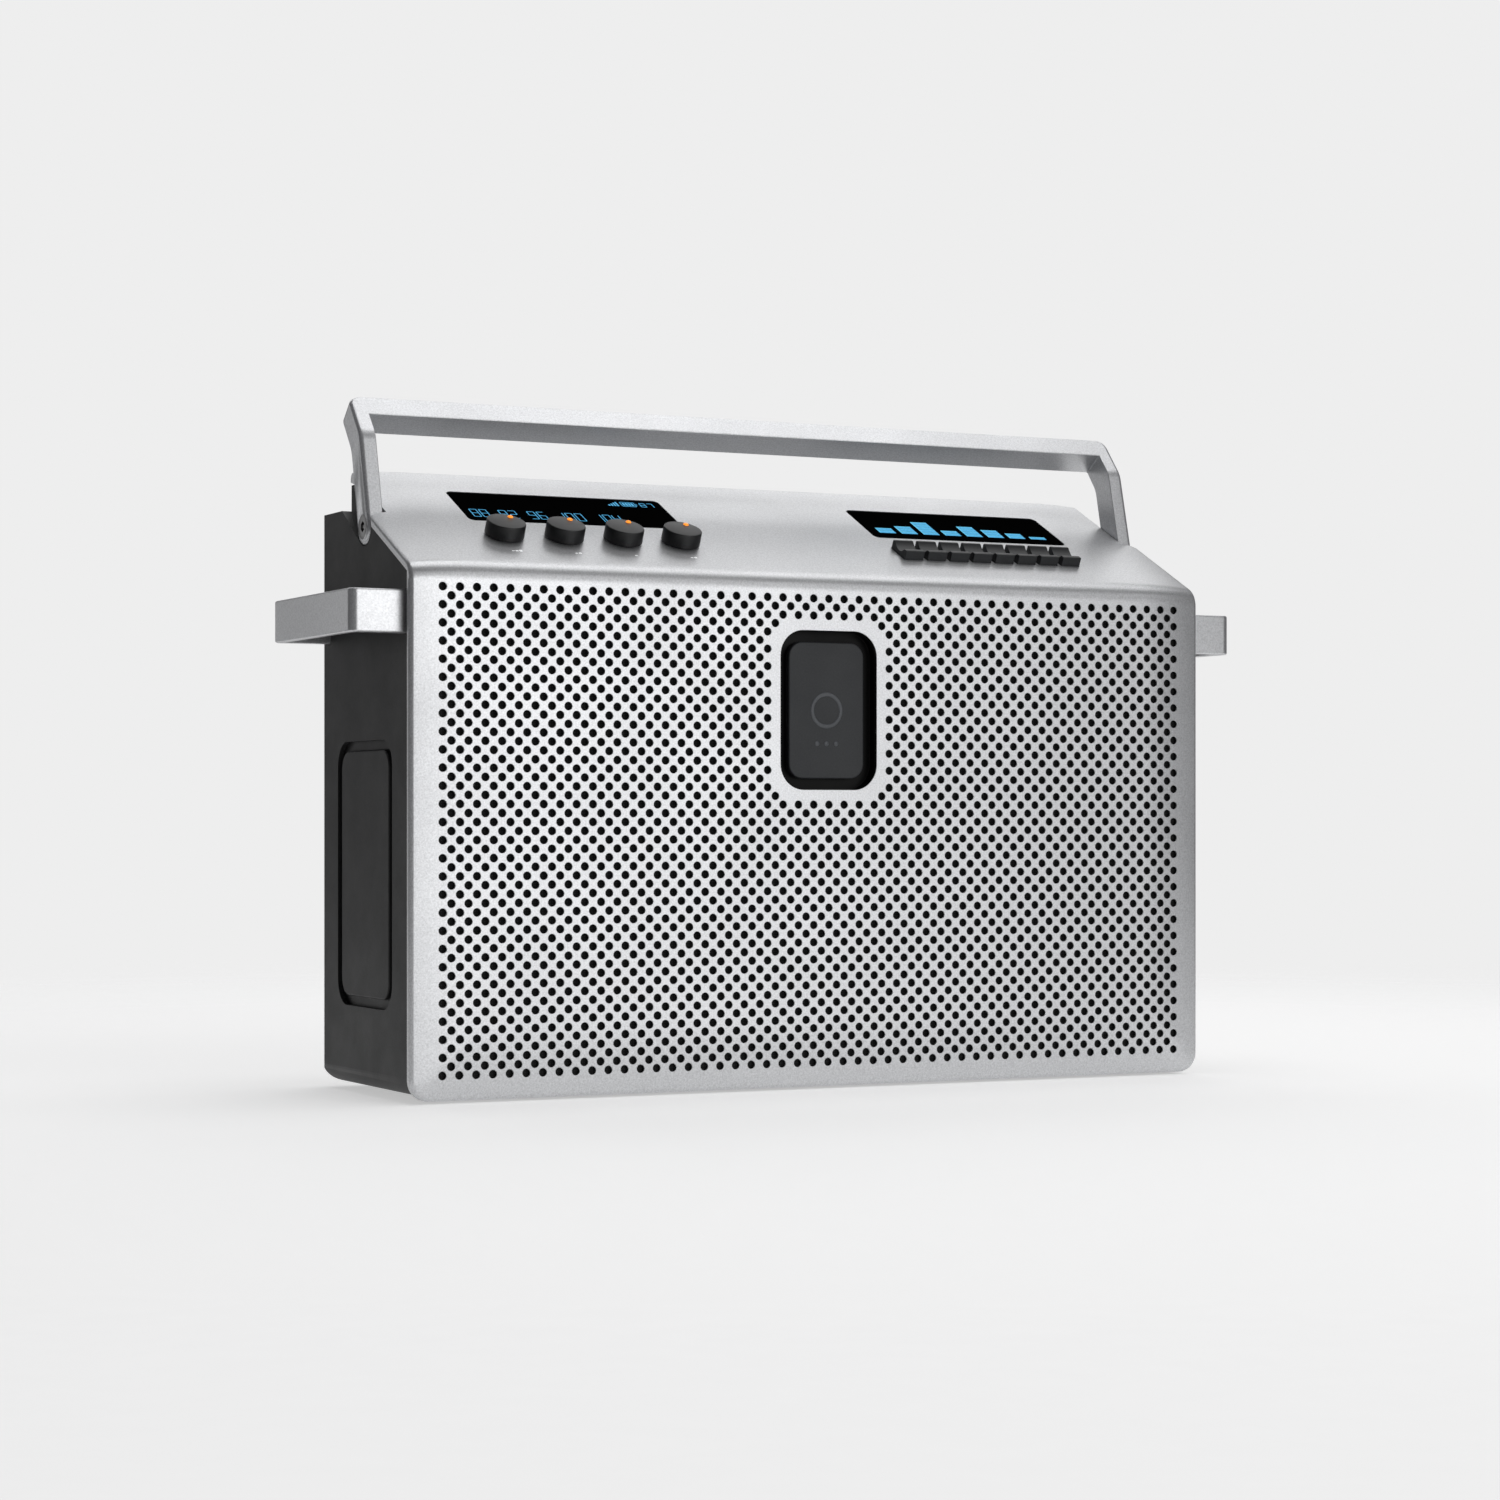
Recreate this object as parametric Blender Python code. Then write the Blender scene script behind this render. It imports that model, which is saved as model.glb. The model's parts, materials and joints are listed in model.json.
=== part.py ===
"""Portable radio speaker with a sloping control deck, a folding bail handle and two strap loops.

Run it with blender --background --python part.py, or from the text editor. Lengths are in
metres and +Z is up. The front face looks towards -Y, and the origin lies under the middle
of the object's box, at the level of its feet.
"""

import math

import bmesh
import bpy
from mathutils import Matrix, Vector

MM = 0.001
GAP = 0.3 * MM  # clearance between neighbouring pieces
THROUGH = 5.0 * MM  # how far a cut runs on past the surface that it opens

# Overall body
LIP_HALF = 206.8 * MM  # silver front shell, half width
SIDE_HALF = 205.0 * MM  # black housing, half width
UPPER_HALF = 197.7 * MM  # cover between the handle arms, half width
BODY_BOTTOM = 1.2 * MM
HOUSING_BOTTOM = 3.0 * MM
REAR_Y = 124.0 * MM
LEDGE_Z = 269.2 * MM  # top of the housing behind and beside the cover
CORNER_R = 9.5 * MM  # lower corners in the front view
HOUSING_WALL = 2.5 * MM
HOUSING_REAR_TOP_R = 2.75 * MM
HOUSING_REAR_FOOT_R = 11.0 * MM
HOUSING_PLAN_R = 3.0 * MM  # rear vertical edges
HEAD_REAR_Y = 109.0 * MM  # rear wall of the housing's raised part under the cover
ROOM_TOP = 246.0 * MM  # the wide part of the room inside stops here, below the handle pivots
ROOM_CORNER_R = 9.0 * MM

# Front shell
SHELL_WALL = 2.0 * MM
SIDE_WALL = 1.5 * MM  # the rim round the edges, outside the housing
LIP_DEPTH = 5.8 * MM
DECK_LIP = 5.4 * MM
EDGE_Z = 238.6 * MM  # where the planes of the face and the deck would meet
DECK_ANGLE = math.radians(26.5)
BEND_R = 9.0 * MM
BEND_STEPS = 4
COVER_REAR_Y = 105.0 * MM
COVER_REAR_R = 3.0 * MM
REAR_LIP_LENGTH = 6.0 * MM  # how far the cover's rear lip reaches forward under the deck
FACE_RISES = (0.0, 0.6, 1.9, 8.0, 18.0, 32.0)  # heights in mm where the lower edge is sampled
FACE_INSETS = (0.0, 0.6, 1.9, 4.5, 9.5, 18.0, 32.0)  # distances in mm from the side edges
REAR_LIP_Z = 283.5 * MM  # lower edge of the cover's rear lip
STEP_Y = 57.0 * MM  # where the cover narrows to pass between the handle arms
STEP_CORNER_R = 6.0 * MM
PILLOW_WIDTH = 32.0 * MM
PILLOW_DEPTH = 2.2 * MM
EDGE_FILLET = 1.9 * MM
HOUSING_SKIN = 4.6 * MM  # depth of the housing's rim below the shell's outer surface

# Handle, in the plane square to its pivot, measured from the pivot
PIVOT_Y = 66.0 * MM
PIVOT_Z = 259.5 * MM
ARM_INNER = 198.1 * MM
ARM_OUTER = 206.0 * MM
ARM_END_R = 7.2 * MM
ARM_END_DROP = 1.2 * MM  # how far below the pivot the round end has its centre
POCKET_R = 8.8 * MM
ARM_FRONT_KINK = (3.6 * MM, 43.4 * MM)
ARM_FRONT_TOP = (19.6 * MM, 62.0 * MM)
ARM_REAR_TOP = (29.9 * MM, 52.9 * MM)
ARM_REAR_KINK = (16.1 * MM, 35.6 * MM)
KINK_R = 14.0 * MM
GRIP_UNDER = 11.4 * MM  # thickness of the grip along the arm
HANDLE_BACK = math.radians(44)
POCKET_FLOOR = 195.9 * MM
PIVOT_HEAD_R = 5.75 * MM
PIVOT_SHANK_R = 3.0 * MM
PIVOT_SHANK_LENGTH = 16.0 * MM
PIVOT_HEAD_THICK = 2.7 * MM
PIVOT_HEAD_SUNK = 0.1 * MM
PIVOT_HEX_R = 2.6 * MM
PIVOT_HEX_DEPTH = 2.2 * MM
PIVOT_BOSS_R = 4.9 * MM
PIVOT_BOSS_LENGTH = 9.0 * MM

# Strap loops
LOOP_OUTER = 231.7 * MM
LOOP_BAR = 4.5 * MM
LOOP_FRONT = 10.0 * MM
LOOP_REAR = 117.0 * MM
LOOP_BOTTOM = 208.1 * MM
LOOP_TOP = 227.6 * MM
LOOP_ROOT = 197.0 * MM
LOOP_CORNER_R = 4.0 * MM

# Openings of the front face and the sides
WINDOW_W = 50.7 * MM
WINDOW_H = 74.3 * MM
WINDOW_R = 12.0 * MM
WINDOW_Z = 176.7 * MM
BADGE_W = 39.3 * MM
BADGE_H = 63.6 * MM
BADGE_R = 6.8 * MM
BADGE_FACE = 2.5 * MM
TRAY_DEPTH = 7.0 * MM
TRAY_FLOOR = 1.3 * MM
TRAY_RIM = 2.0 * MM
SIDE_W = 72.5 * MM
SIDE_H = 121.8 * MM
SIDE_Y = 65.8 * MM
SIDE_Z = 100.9 * MM
SIDE_R = 12.0 * MM
SIDE_GROOVE = 4.6 * MM
PAD_R = 8.5 * MM
PAD_FLANGE = 4.5 * MM
PAD_THICK = 1.6 * MM

# Control deck: X across, S up the slope from the edge, N out of it
DISPLAY_X = 105.6 * MM
DISPLAY_S = 72.6 * MM
DISPLAY_W = 108.6 * MM
DISPLAY_H = 35.8 * MM
DISPLAY_R = 3.0 * MM
LENS_THICK = 1.6 * MM
LENS_SUNK = 0.2 * MM
MODULE_THICK = 3.6 * MM
KNOB_S = 36.5 * MM
KNOB_COUNT = 4
KNOB_PITCH = 29.5 * MM
KNOB_ROW_X = -105.6 * MM
KNOB_R = 9.1 * MM
KNOB_BASE_N = 0.4 * MM
KNOB_TOP_N = 7.3 * MM
KNOB_RIM = 0.8 * MM
KNOB_BORE_N = 5.6 * MM
SHAFT_R = 3.0 * MM
SHAFT_LOW_N = -8.6 * MM
ENCODER_SIDE = 12.0 * MM
ENCODER_LOW_N = -11.0 * MM
ENCODER_TOP_N = -3.6 * MM
KEY_COUNT = 8
KEY_PITCH = 12.6 * MM
KEY_ROW_X = 102.9 * MM
KEY_S = 34.3 * MM
KEY_W = 10.4 * MM
KEY_LENGTH = 14.8 * MM
KEY_TOP_N = 4.4 * MM
KEY_BASE_N = -1.6 * MM
KEY_DISH_N = 2.0 * MM
KEY_LIP = 2.6 * MM  # depth of the flat front lip
KEY_CREST = 1.4 * MM  # depth of the rear edge
KEY_TRAVEL = 1.5 * MM
KEY_TRAY_RIM = 3.0 * MM
KEY_TRAY_WALL = 2.0 * MM
KEY_TRAY_FLOOR = 1.4 * MM

# Inside
CLOTH_FRONT = 8.8 * MM
CLOTH_THICK = 0.6 * MM
BAFFLE_FRONT = 9.7 * MM
BAFFLE_BACK = 17.0 * MM
BAFFLE_HALF = 194.0 * MM
WOOFER_X = 118.0 * MM
WOOFER_Z = 105.0 * MM
WOOFER_R = 66.0 * MM
TWEETER_X = 64.0 * MM
TWEETER_Z = 196.0 * MM
TWEETER_R = 24.0 * MM

# Underside and rear
FOOT_R = 8.0 * MM
FOOT_X = 165.0 * MM
FOOT_YS = (32.0 * MM, 100.0 * MM)
PLATE_W = 112.0 * MM
PLATE_H = 40.0 * MM
PLATE_R = 4.0 * MM
PLATE_Z = 62.0 * MM
PLATE_THICK = 2.5 * MM
PLATE_SUNK = 1.0 * MM
SCREW_X = 180.0 * MM
SCREW_ZS = (24.0 * MM, 246.0 * MM)
SCREW_HOLE_R = 1.9 * MM
SCREW_HOLE_DEPTH = 10.0 * MM
SCREW_SEAT_R = 3.5 * MM
SCREW_SEAT_DEPTH = 1.3 * MM

SILVER = ("silver", (0.80, 0.81, 0.83), 0.38, 1.0)
BLACK = ("black_plastic", (0.035, 0.036, 0.038), 0.55, 0.0)
CHARCOAL = ("charcoal_plastic", (0.060, 0.062, 0.066), 0.50, 0.0)
KEY_GREY = ("key_plastic", (0.045, 0.047, 0.052), 0.45, 0.0)
LENS = ("display_lens", (0.004, 0.004, 0.005), 0.08, 0.0)
BOARD = ("circuit_board", (0.03, 0.16, 0.08), 0.50, 0.0)
CLOTH = ("grille_cloth", (0.02, 0.02, 0.02), 0.95, 0.0)
WOOD = ("baffle_board", (0.30, 0.22, 0.14), 0.80, 0.0)
STEEL = ("steel", (0.45, 0.46, 0.48), 0.35, 1.0)
PAPER = ("cone_paper", (0.03, 0.03, 0.03), 0.85, 0.0)
FERRITE = ("ferrite", (0.10, 0.10, 0.11), 0.60, 0.0)
RUBBER = ("rubber", (0.02, 0.02, 0.02), 0.90, 0.0)
BATTERY = ("battery_wrap", (0.05, 0.12, 0.30), 0.45, 0.0)


# ---------------------------------------------------------------- helpers


def clear_scene():
    for obj in list(bpy.data.objects):
        bpy.data.objects.remove(obj, do_unlink=True)


def material(finish):
    """A Principled material for this finish, made once."""
    name, colour, roughness, metallic = finish
    found = bpy.data.materials.get(name)
    if found:
        return found
    made = bpy.data.materials.new(name)
    made.use_nodes = True
    shader = made.node_tree.nodes["Principled BSDF"]
    shader.inputs["Base Color"].default_value = (*colour, 1.0)
    shader.inputs["Roughness"].default_value = roughness
    shader.inputs["Metallic"].default_value = metallic
    return made


def add_object(name, bm, finish, matrix=None):
    """Turns a bmesh into a named object with outward normals and smooth round faces."""
    bmesh.ops.recalc_face_normals(bm, faces=bm.faces)
    mesh = bpy.data.meshes.new(name)
    bm.to_mesh(mesh)
    bm.free()
    mesh.shade_smooth()
    mesh.set_sharp_from_angle(angle=math.radians(35))
    obj = bpy.data.objects.new(name, mesh)
    bpy.context.scene.collection.objects.link(obj)
    if finish:
        obj.data.materials.append(material(finish))
    if matrix:
        obj.matrix_world = matrix
    return obj


def rounded(points, radii, steps=5):
    """The polygon with each corner of radius above 0 turned into an arc."""
    outline = []
    count = len(points)
    for i, (corner, radius) in enumerate(zip(points, radii)):
        corner = Vector(corner)
        if radius <= 0:
            outline.append(tuple(corner))
            continue
        to_last = (Vector(points[i - 1]) - corner).normalized()
        to_next = (Vector(points[(i + 1) % count]) - corner).normalized()
        half = to_last.angle(to_next) / 2
        centre = corner + (to_last + to_next).normalized() * (radius / math.sin(half))
        first = corner + to_last * (radius / math.tan(half)) - centre
        last = corner + to_next * (radius / math.tan(half)) - centre
        turn = first.angle_signed(last)
        for step in range(steps + 1):
            spoke = Matrix.Rotation(-turn * step / steps, 2) @ first
            outline.append(tuple(centre + spoke))
    return outline


def rounded_rect(cx, cy, width, height, radius, steps=5):
    x, y = width / 2, height / 2
    corners = [(cx - x, cy - y), (cx + x, cy - y), (cx + x, cy + y), (cx - x, cy + y)]
    return rounded(corners, [radius] * 4, steps)


def circle(cx, cy, radius, steps=24):
    turn = 2 * math.pi / steps
    return [
        (cx + radius * math.cos(i * turn), cy + radius * math.sin(i * turn))
        for i in range(steps)
    ]


def loft(sections):
    """A closed bmesh through loops of equal length, capped at both ends."""
    bm = bmesh.new()
    loops = [[bm.verts.new(point) for point in section] for section in sections]
    for low, high in zip(loops, loops[1:]):
        for i in range(len(low)):
            j = (i + 1) % len(low)
            bm.faces.new((low[i], low[j], high[j], high[i]))
    bm.faces.new(loops[0])
    bm.faces.new(loops[-1])
    return bm


PLANES = {
    "X": lambda a, b, c: (c, a, b),
    "Y": lambda a, b, c: (a, c, b),
    "Z": lambda a, b, c: (a, b, c),
}


def prism(name, outline, axis, start, end, finish=None, matrix=None):
    """The outline, drawn in the other two axes in their order, extruded along this one."""
    place = PLANES[axis]
    sections = [[place(a, b, c) for a, b in outline] for c in (start, end)]
    return add_object(name, loft(sections), finish, matrix)


def lathe(name, profile, finish=None, matrix=None, segments=24):
    """Turns (radius, height) points about Z; a profile that ends on the axis closes there."""
    bm = bmesh.new()
    turn = 2 * math.pi / segments
    rings = []
    for radius, height in profile:
        if radius == 0:
            rings.append([bm.verts.new((0, 0, height))] * segments)
            continue
        ring = []
        for i in range(segments):
            spoke = (radius * math.cos(i * turn), radius * math.sin(i * turn), height)
            ring.append(bm.verts.new(spoke))
        rings.append(ring)
    closed = profile[0][0] > 0 and profile[-1][0] > 0
    pairs = list(zip(rings, rings[1:]))
    if closed:
        pairs.append((rings[-1], rings[0]))
    for low, high in pairs:
        for i in range(segments):
            j = (i + 1) % segments
            corners = dict.fromkeys((low[i], low[j], high[j], high[i]))
            if len(corners) > 2:
                bm.faces.new(list(corners))
    return add_object(name, bm, finish, matrix)


def boolean(obj, other, operation="DIFFERENCE"):
    """Cuts, joins or intersects with a helper object, which is left out of the model."""
    modifier = obj.modifiers.new(other.name, "BOOLEAN")
    modifier.operation = operation
    modifier.solver = "EXACT"
    modifier.object = other
    other.hide_render = True
    other.display_type = "WIRE"
    return obj


def in_metres(profile):
    return [(radius * MM, height * MM) for radius, height in profile]


def side_name(side):
    return "left" if side < 0 else "right"


def deck_place(x, s, n=0.0):
    """Where the deck's own frame puts a point: X across, local Y up the slope, local Z out."""
    turn = Matrix.Rotation(DECK_ANGLE, 4, "X")
    return Matrix.Translation((0, 0, EDGE_Z)) @ turn @ Matrix.Translation((x, s, n))


def facing(location, direction):
    """A frame whose local Z looks along the direction."""
    turn = Vector((0, 0, 1)).rotation_difference(Vector(direction))
    return Matrix.Translation(location) @ turn.to_matrix().to_4x4()


# ---------------------------------------------------------------- front shell


def pillow(edge):
    """How far the surface falls back at this distance from the outline."""
    inside = max(0.0, PILLOW_WIDTH - edge) / PILLOW_WIDTH
    return PILLOW_DEPTH * inside * inside


def fillet(edge):
    rest = min(EDGE_FILLET, max(0.0, EDGE_FILLET - edge))
    return EDGE_FILLET - math.sqrt(EDGE_FILLET**2 - rest**2)


def outline_distance(x, z):
    """Distance inside the rounded lower outline of the front face."""
    across = LIP_HALF - abs(x)
    above = z - BODY_BOTTOM
    if across < CORNER_R and above < CORNER_R:
        return CORNER_R - math.hypot(CORNER_R - across, CORNER_R - above)
    return min(across, above)


def outline_bottom(x, half=LIP_HALF, bottom=BODY_BOTTOM, radius=CORNER_R):
    rest = max(0.0, radius - (half - abs(x)))
    return bottom + radius - math.sqrt(max(0.0, radius**2 - rest**2))


def deck_z(y, depth=0.0):
    """Height of the deck's plane at this y, sunk by a depth square to it."""
    return EDGE_Z + y * math.tan(DECK_ANGLE) - depth / math.cos(DECK_ANGLE)


def deck_points(depth, rear_y, corner):
    """The bend and the deck in (y, z), sunk by a depth, up to a rear face and down it."""
    tangent = BEND_R * math.tan((math.pi / 2 - DECK_ANGLE) / 2)
    centre = (BEND_R, EDGE_Z - tangent)
    arc = []
    for step in range(BEND_STEPS + 1):
        angle = math.pi - (math.pi / 2 - DECK_ANGLE) * step / BEND_STEPS
        spoke = BEND_R - depth
        arc.append((centre[0] + spoke * math.cos(angle), centre[1] + spoke * math.sin(angle)))
    top = (rear_y, deck_z(rear_y, depth))
    below = (rear_y, top[1] - 2 * BEND_R)
    turned = rounded([arc[-1], top, below], [0, corner, 0], 3)
    return arc + turned[1:-1]


def shell_section(x):
    """One slice of the solid front shell, before its inside is cut away."""
    bottom = outline_bottom(x)
    side_drop = pillow(LIP_HALF - abs(x)) + fillet(LIP_HALF - abs(x))
    points = [(x, LIP_DEPTH, bottom)]
    for rise in FACE_RISES:
        z = bottom + rise * MM
        edge = outline_distance(x, z)
        points.append((x, pillow(edge) + fillet(edge), z))
    upper = deck_points(side_drop, COVER_REAR_Y, COVER_REAR_R)
    points += [(x, y, z) for y, z in upper]
    points.append((x, COVER_REAR_Y, min(REAR_LIP_Z, upper[-1][1] - GAP)))
    ahead = COVER_REAR_Y - REAR_LIP_LENGTH
    points.append((x, ahead, deck_z(ahead, DECK_LIP)))
    points.append((x, LIP_DEPTH, deck_z(LIP_DEPTH, DECK_LIP)))
    return points


def cavity_section(x, rear_y):
    """One slice of the space behind the front shell's wall."""
    half, low = LIP_HALF - SIDE_WALL, BODY_BOTTOM + SIDE_WALL
    bottom = outline_bottom(x, half, low, CORNER_R - SIDE_WALL)
    side_drop = pillow(LIP_HALF - abs(x)) + SHELL_WALL
    back = LIP_DEPTH + THROUGH
    points = [(x, back, bottom)]
    for rise in (0.0, 6.1, 16.1, 30.1):
        z = bottom + rise * MM
        edge = outline_distance(x, z)
        points.append((x, pillow(edge) + SHELL_WALL, z))
    upper = deck_points(side_drop, rear_y, 0.4 * MM)
    points += [(x, y, z) for y, z in upper]
    below = DECK_LIP + 2 * THROUGH
    points.append((x, rear_y, deck_z(rear_y, below)))
    points.append((x, back, deck_z(back, below)))
    return points


def stations(half, edges):
    """Positions across the width, closer together near both ends."""
    right = [half - edge * MM for edge in edges]
    return [-x for x in right] + right[::-1]


def deck_cutter(name, x, s, outline):
    """A cutter through the deck's sheet, with its outline drawn about the place (x, s)."""
    return prism(name, outline, "Z", -THROUGH, THROUGH, None, deck_place(x, s))


def key_slot():
    return rounded_rect(0, 0, KEY_W + 2 * GAP, KEY_LENGTH + 2 * GAP, 0.5 * MM, 1)


def make_front_shell():
    sections = [shell_section(x) for x in stations(LIP_HALF, FACE_INSETS)]
    shell = add_object("front_shell", loft(sections), SILVER)
    wide = stations(LIP_HALF - SIDE_WALL, (0, 1.0, 2.6, 4.8, 8.0, 16.1, 30.1))
    lower = [cavity_section(x, STEP_Y - SIDE_WALL) for x in wide]
    boolean(shell, add_object("cut_shell_lower", loft(lower), None))
    narrow = stations(UPPER_HALF - SIDE_WALL, (0, 7, 21))
    upper = [cavity_section(x, COVER_REAR_Y - SIDE_WALL) for x in narrow]
    boolean(shell, add_object("cut_shell_upper", loft(upper), None))
    beyond, rear = LIP_HALF + THROUGH, COVER_REAR_Y + THROUGH
    corner = (LIP_HALF - STEP_CORNER_R, STEP_Y - STEP_CORNER_R)
    step = [(beyond, corner[1]), (beyond, rear), (UPPER_HALF, rear), (UPPER_HALF, STEP_Y)]
    for i in range(6):
        angle = math.radians(90 - 18 * i)
        step.append((corner[0] + STEP_CORNER_R * math.cos(angle),
                     corner[1] + STEP_CORNER_R * math.sin(angle)))
    for side in (-1, 1):
        outline = [(side * x, y) for x, y in step]
        name = "cut_step_" + side_name(side)
        boolean(shell, prism(name, outline, "Z", LOOP_BOTTOM, EDGE_Z + REAR_Y))
    window = rounded_rect(0, WINDOW_Z, WINDOW_W, WINDOW_H, WINDOW_R)
    boolean(shell, prism("cut_window", window, "Y", -THROUGH, 2 * THROUGH))
    lens = rounded_rect(0, 0, DISPLAY_W + 2 * GAP, DISPLAY_H + 2 * GAP, DISPLAY_R + GAP, 4)
    for side in (-1, 1):
        name = "cut_display_" + side_name(side)
        boolean(shell, deck_cutter(name, side * DISPLAY_X, DISPLAY_S, lens))
    shaft = circle(0, 0, SHAFT_R + 2 * GAP, 16)
    for i in range(KNOB_COUNT):
        boolean(shell, deck_cutter(f"cut_shaft_{i + 1}", knob_x(i), KNOB_S, shaft))
    for i in range(KEY_COUNT):
        boolean(shell, deck_cutter(f"cut_key_{i + 1}", key_x(i), KEY_S, key_slot()))


def make_grille_backing():
    """The black cloth behind the holes and the board that carries the speakers."""
    inset = 4 * MM
    low, high = HOUSING_BOTTOM + inset, EDGE_Z - inset
    sheet = rounded_rect(0, (low + high) / 2, 2 * BAFFLE_HALF, high - low, inset, 3)
    rim = TRAY_RIM + MM
    window = rounded_rect(0, WINDOW_Z, WINDOW_W + 2 * rim, WINDOW_H + 2 * rim, WINDOW_R + rim)
    cloth = prism("acoustic_cloth", sheet, "Y", CLOTH_FRONT, CLOTH_FRONT + CLOTH_THICK, CLOTH)
    boolean(cloth, prism("cut_cloth", window, "Y", 0, BAFFLE_BACK))
    baffle = prism("baffle_board", sheet, "Y", BAFFLE_FRONT, BAFFLE_BACK, WOOD)
    end = BAFFLE_BACK + THROUGH
    boolean(baffle, prism("cut_baffle_window", window, "Y", 0, end))
    for side in (-1, 1):
        for part, x, z, radius in (
            ("woofer", WOOFER_X, WOOFER_Z, WOOFER_R - 7 * MM),
            ("tweeter", TWEETER_X, TWEETER_Z, TWEETER_R - 5 * MM),
        ):
            name = f"cut_baffle_{part}_{side_name(side)}"
            boolean(baffle, prism(name, circle(side * x, z, radius, 32), "Y", 0, end))


def make_window():
    """The black tray behind the front opening and the raised plate in the middle of it."""
    rim = TRAY_RIM
    outer = rounded_rect(0, WINDOW_Z, WINDOW_W + 2 * rim, WINDOW_H + 2 * rim, WINDOW_R + rim)
    inner = rounded_rect(0, WINDOW_Z, WINDOW_W + 0.2 * MM, WINDOW_H + 0.2 * MM, WINDOW_R)
    back = TRAY_DEPTH + TRAY_FLOOR
    tray = prism("window_tray", outer, "Y", SHELL_WALL + GAP, back, BLACK)
    boolean(tray, prism("cut_tray", inner, "Y", 0, TRAY_DEPTH))
    badge = rounded_rect(0, WINDOW_Z, BADGE_W, BADGE_H, BADGE_R)
    prism("badge_plate", badge, "Y", BADGE_FACE, TRAY_DEPTH - GAP, CHARCOAL)


# ---------------------------------------------------------------- housing


def turned_back(point, angle):
    """A point of the handle's plane, measured from the pivot, swung towards the rear."""
    y, z = point
    return (y * math.cos(angle) + z * math.sin(angle), z * math.cos(angle) - y * math.sin(angle))


def arm_end(centre, radius, front, rear, steps=10):
    """The round end of the arm, from where its front edge leaves it to where its rear edge does."""
    ends = []
    for point, side in ((front, 1), (rear, -1)):
        reach = (point[0] - centre[0], point[1] - centre[1])
        spread = math.acos(radius / math.hypot(*reach))
        ends.append(math.atan2(reach[1], reach[0]) + side * spread)
    sweep = ends[1] + 2 * math.pi - ends[0]
    return [
        (centre[0] + radius * math.cos(ends[0] + sweep * i / steps),
         centre[1] + radius * math.sin(ends[0] + sweep * i / steps))
        for i in range(steps + 1)
    ]


def pocket_outline():
    """The notch that the arm swings in, with its slope where the arm lies when it is folded."""
    room = 2 * GAP
    front = (ARM_FRONT_KINK[0] - room, ARM_FRONT_KINK[1])
    rear = turned_back((ARM_REAR_KINK[0] + room, ARM_REAR_KINK[1] - room), HANDLE_BACK)
    end = arm_end((0, 0), POCKET_R, front, rear)
    slope = (rear[0] - end[-1][0], rear[1] - end[-1][1])
    far = (end[-1][0] + 2 * slope[0], end[-1][1] + 2 * slope[1])
    above = ARM_FRONT_TOP[1]
    ahead = STEP_Y - SIDE_WALL - 2 * GAP  # the cover's step stands in front of the arm
    shelf = deck_z(ahead, DECK_LIP + GAP) - PIVOT_Z
    ahead -= PIVOT_Y
    outline = [(ahead, above), (ahead, shelf)] + end[1:] + [far, (far[0], above)]
    return [(PIVOT_Y + y, PIVOT_Z + z) for y, z in outline]


def housing_profile():
    """The housing in the side view, behind the shell's face, bend and deck."""
    front = deck_points(HOUSING_SKIN, REAR_Y, 0)[:BEND_STEPS + 1]
    sunk = HOUSING_SKIN / math.cos(DECK_ANGLE)
    meet = (LEDGE_Z - EDGE_Z + sunk) / math.tan(DECK_ANGLE)
    points = [(HOUSING_SKIN, HOUSING_BOTTOM)] + front
    points += [(meet, LEDGE_Z), (REAR_Y, LEDGE_Z), (REAR_Y, HOUSING_BOTTOM)]
    radii = [0] * (len(points) - 2) + [HOUSING_REAR_TOP_R, HOUSING_REAR_FOOT_R]
    return rounded(points, radii)


def head_profile():
    """The part of the housing that rises between the handle arms, in the side view."""
    upper = deck_points(HOUSING_SKIN, HEAD_REAR_Y, 0)[:BEND_STEPS + 1]
    under_lip = REAR_LIP_Z - 3 * GAP
    tuck = COVER_REAR_Y - SIDE_WALL - 0.5 * MM
    upper += [(tuck, deck_z(tuck, HOUSING_SKIN)), (tuck, under_lip), (HEAD_REAR_Y, under_lip)]
    return upper + [(HEAD_REAR_Y, EDGE_Z), (HOUSING_SKIN, LOOP_BOTTOM)]


def make_housing():
    housing = prism("rear_housing", housing_profile(), "X", -SIDE_HALF, SIDE_HALF, BLACK)
    tall = 2 * REAR_Y
    radius = CORNER_R - (BODY_BOTTOM - GAP) - GAP
    front_view = rounded_rect(0, HOUSING_BOTTOM + tall, 2 * SIDE_HALF, 2 * tall, radius)
    front_view = prism("keep_front_view", front_view, "Y", -THROUGH, REAR_Y + THROUGH)
    boolean(housing, front_view, "INTERSECT")
    plan = rounded_rect(0, REAR_Y - tall / 2, 2 * SIDE_HALF, tall, HOUSING_PLAN_R, 3)
    boolean(housing, prism("keep_plan", plan, "Z", -THROUGH, 2 * tall), "INTERSECT")
    head = prism("join_head", head_profile(), "X", -POCKET_FLOOR, POCKET_FLOOR)
    boolean(housing, head, "UNION")
    for side in (-1, 1):
        name = "cut_pocket_" + side_name(side)
        start, end = side * POCKET_FLOOR, side * (SIDE_HALF + THROUGH)
        boolean(housing, prism(name, pocket_outline(), "X", start, end))
    cut_rooms(housing)
    add_pivot_bosses(housing)
    cut_side_openings(housing)
    cut_rear_openings(housing)


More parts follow.
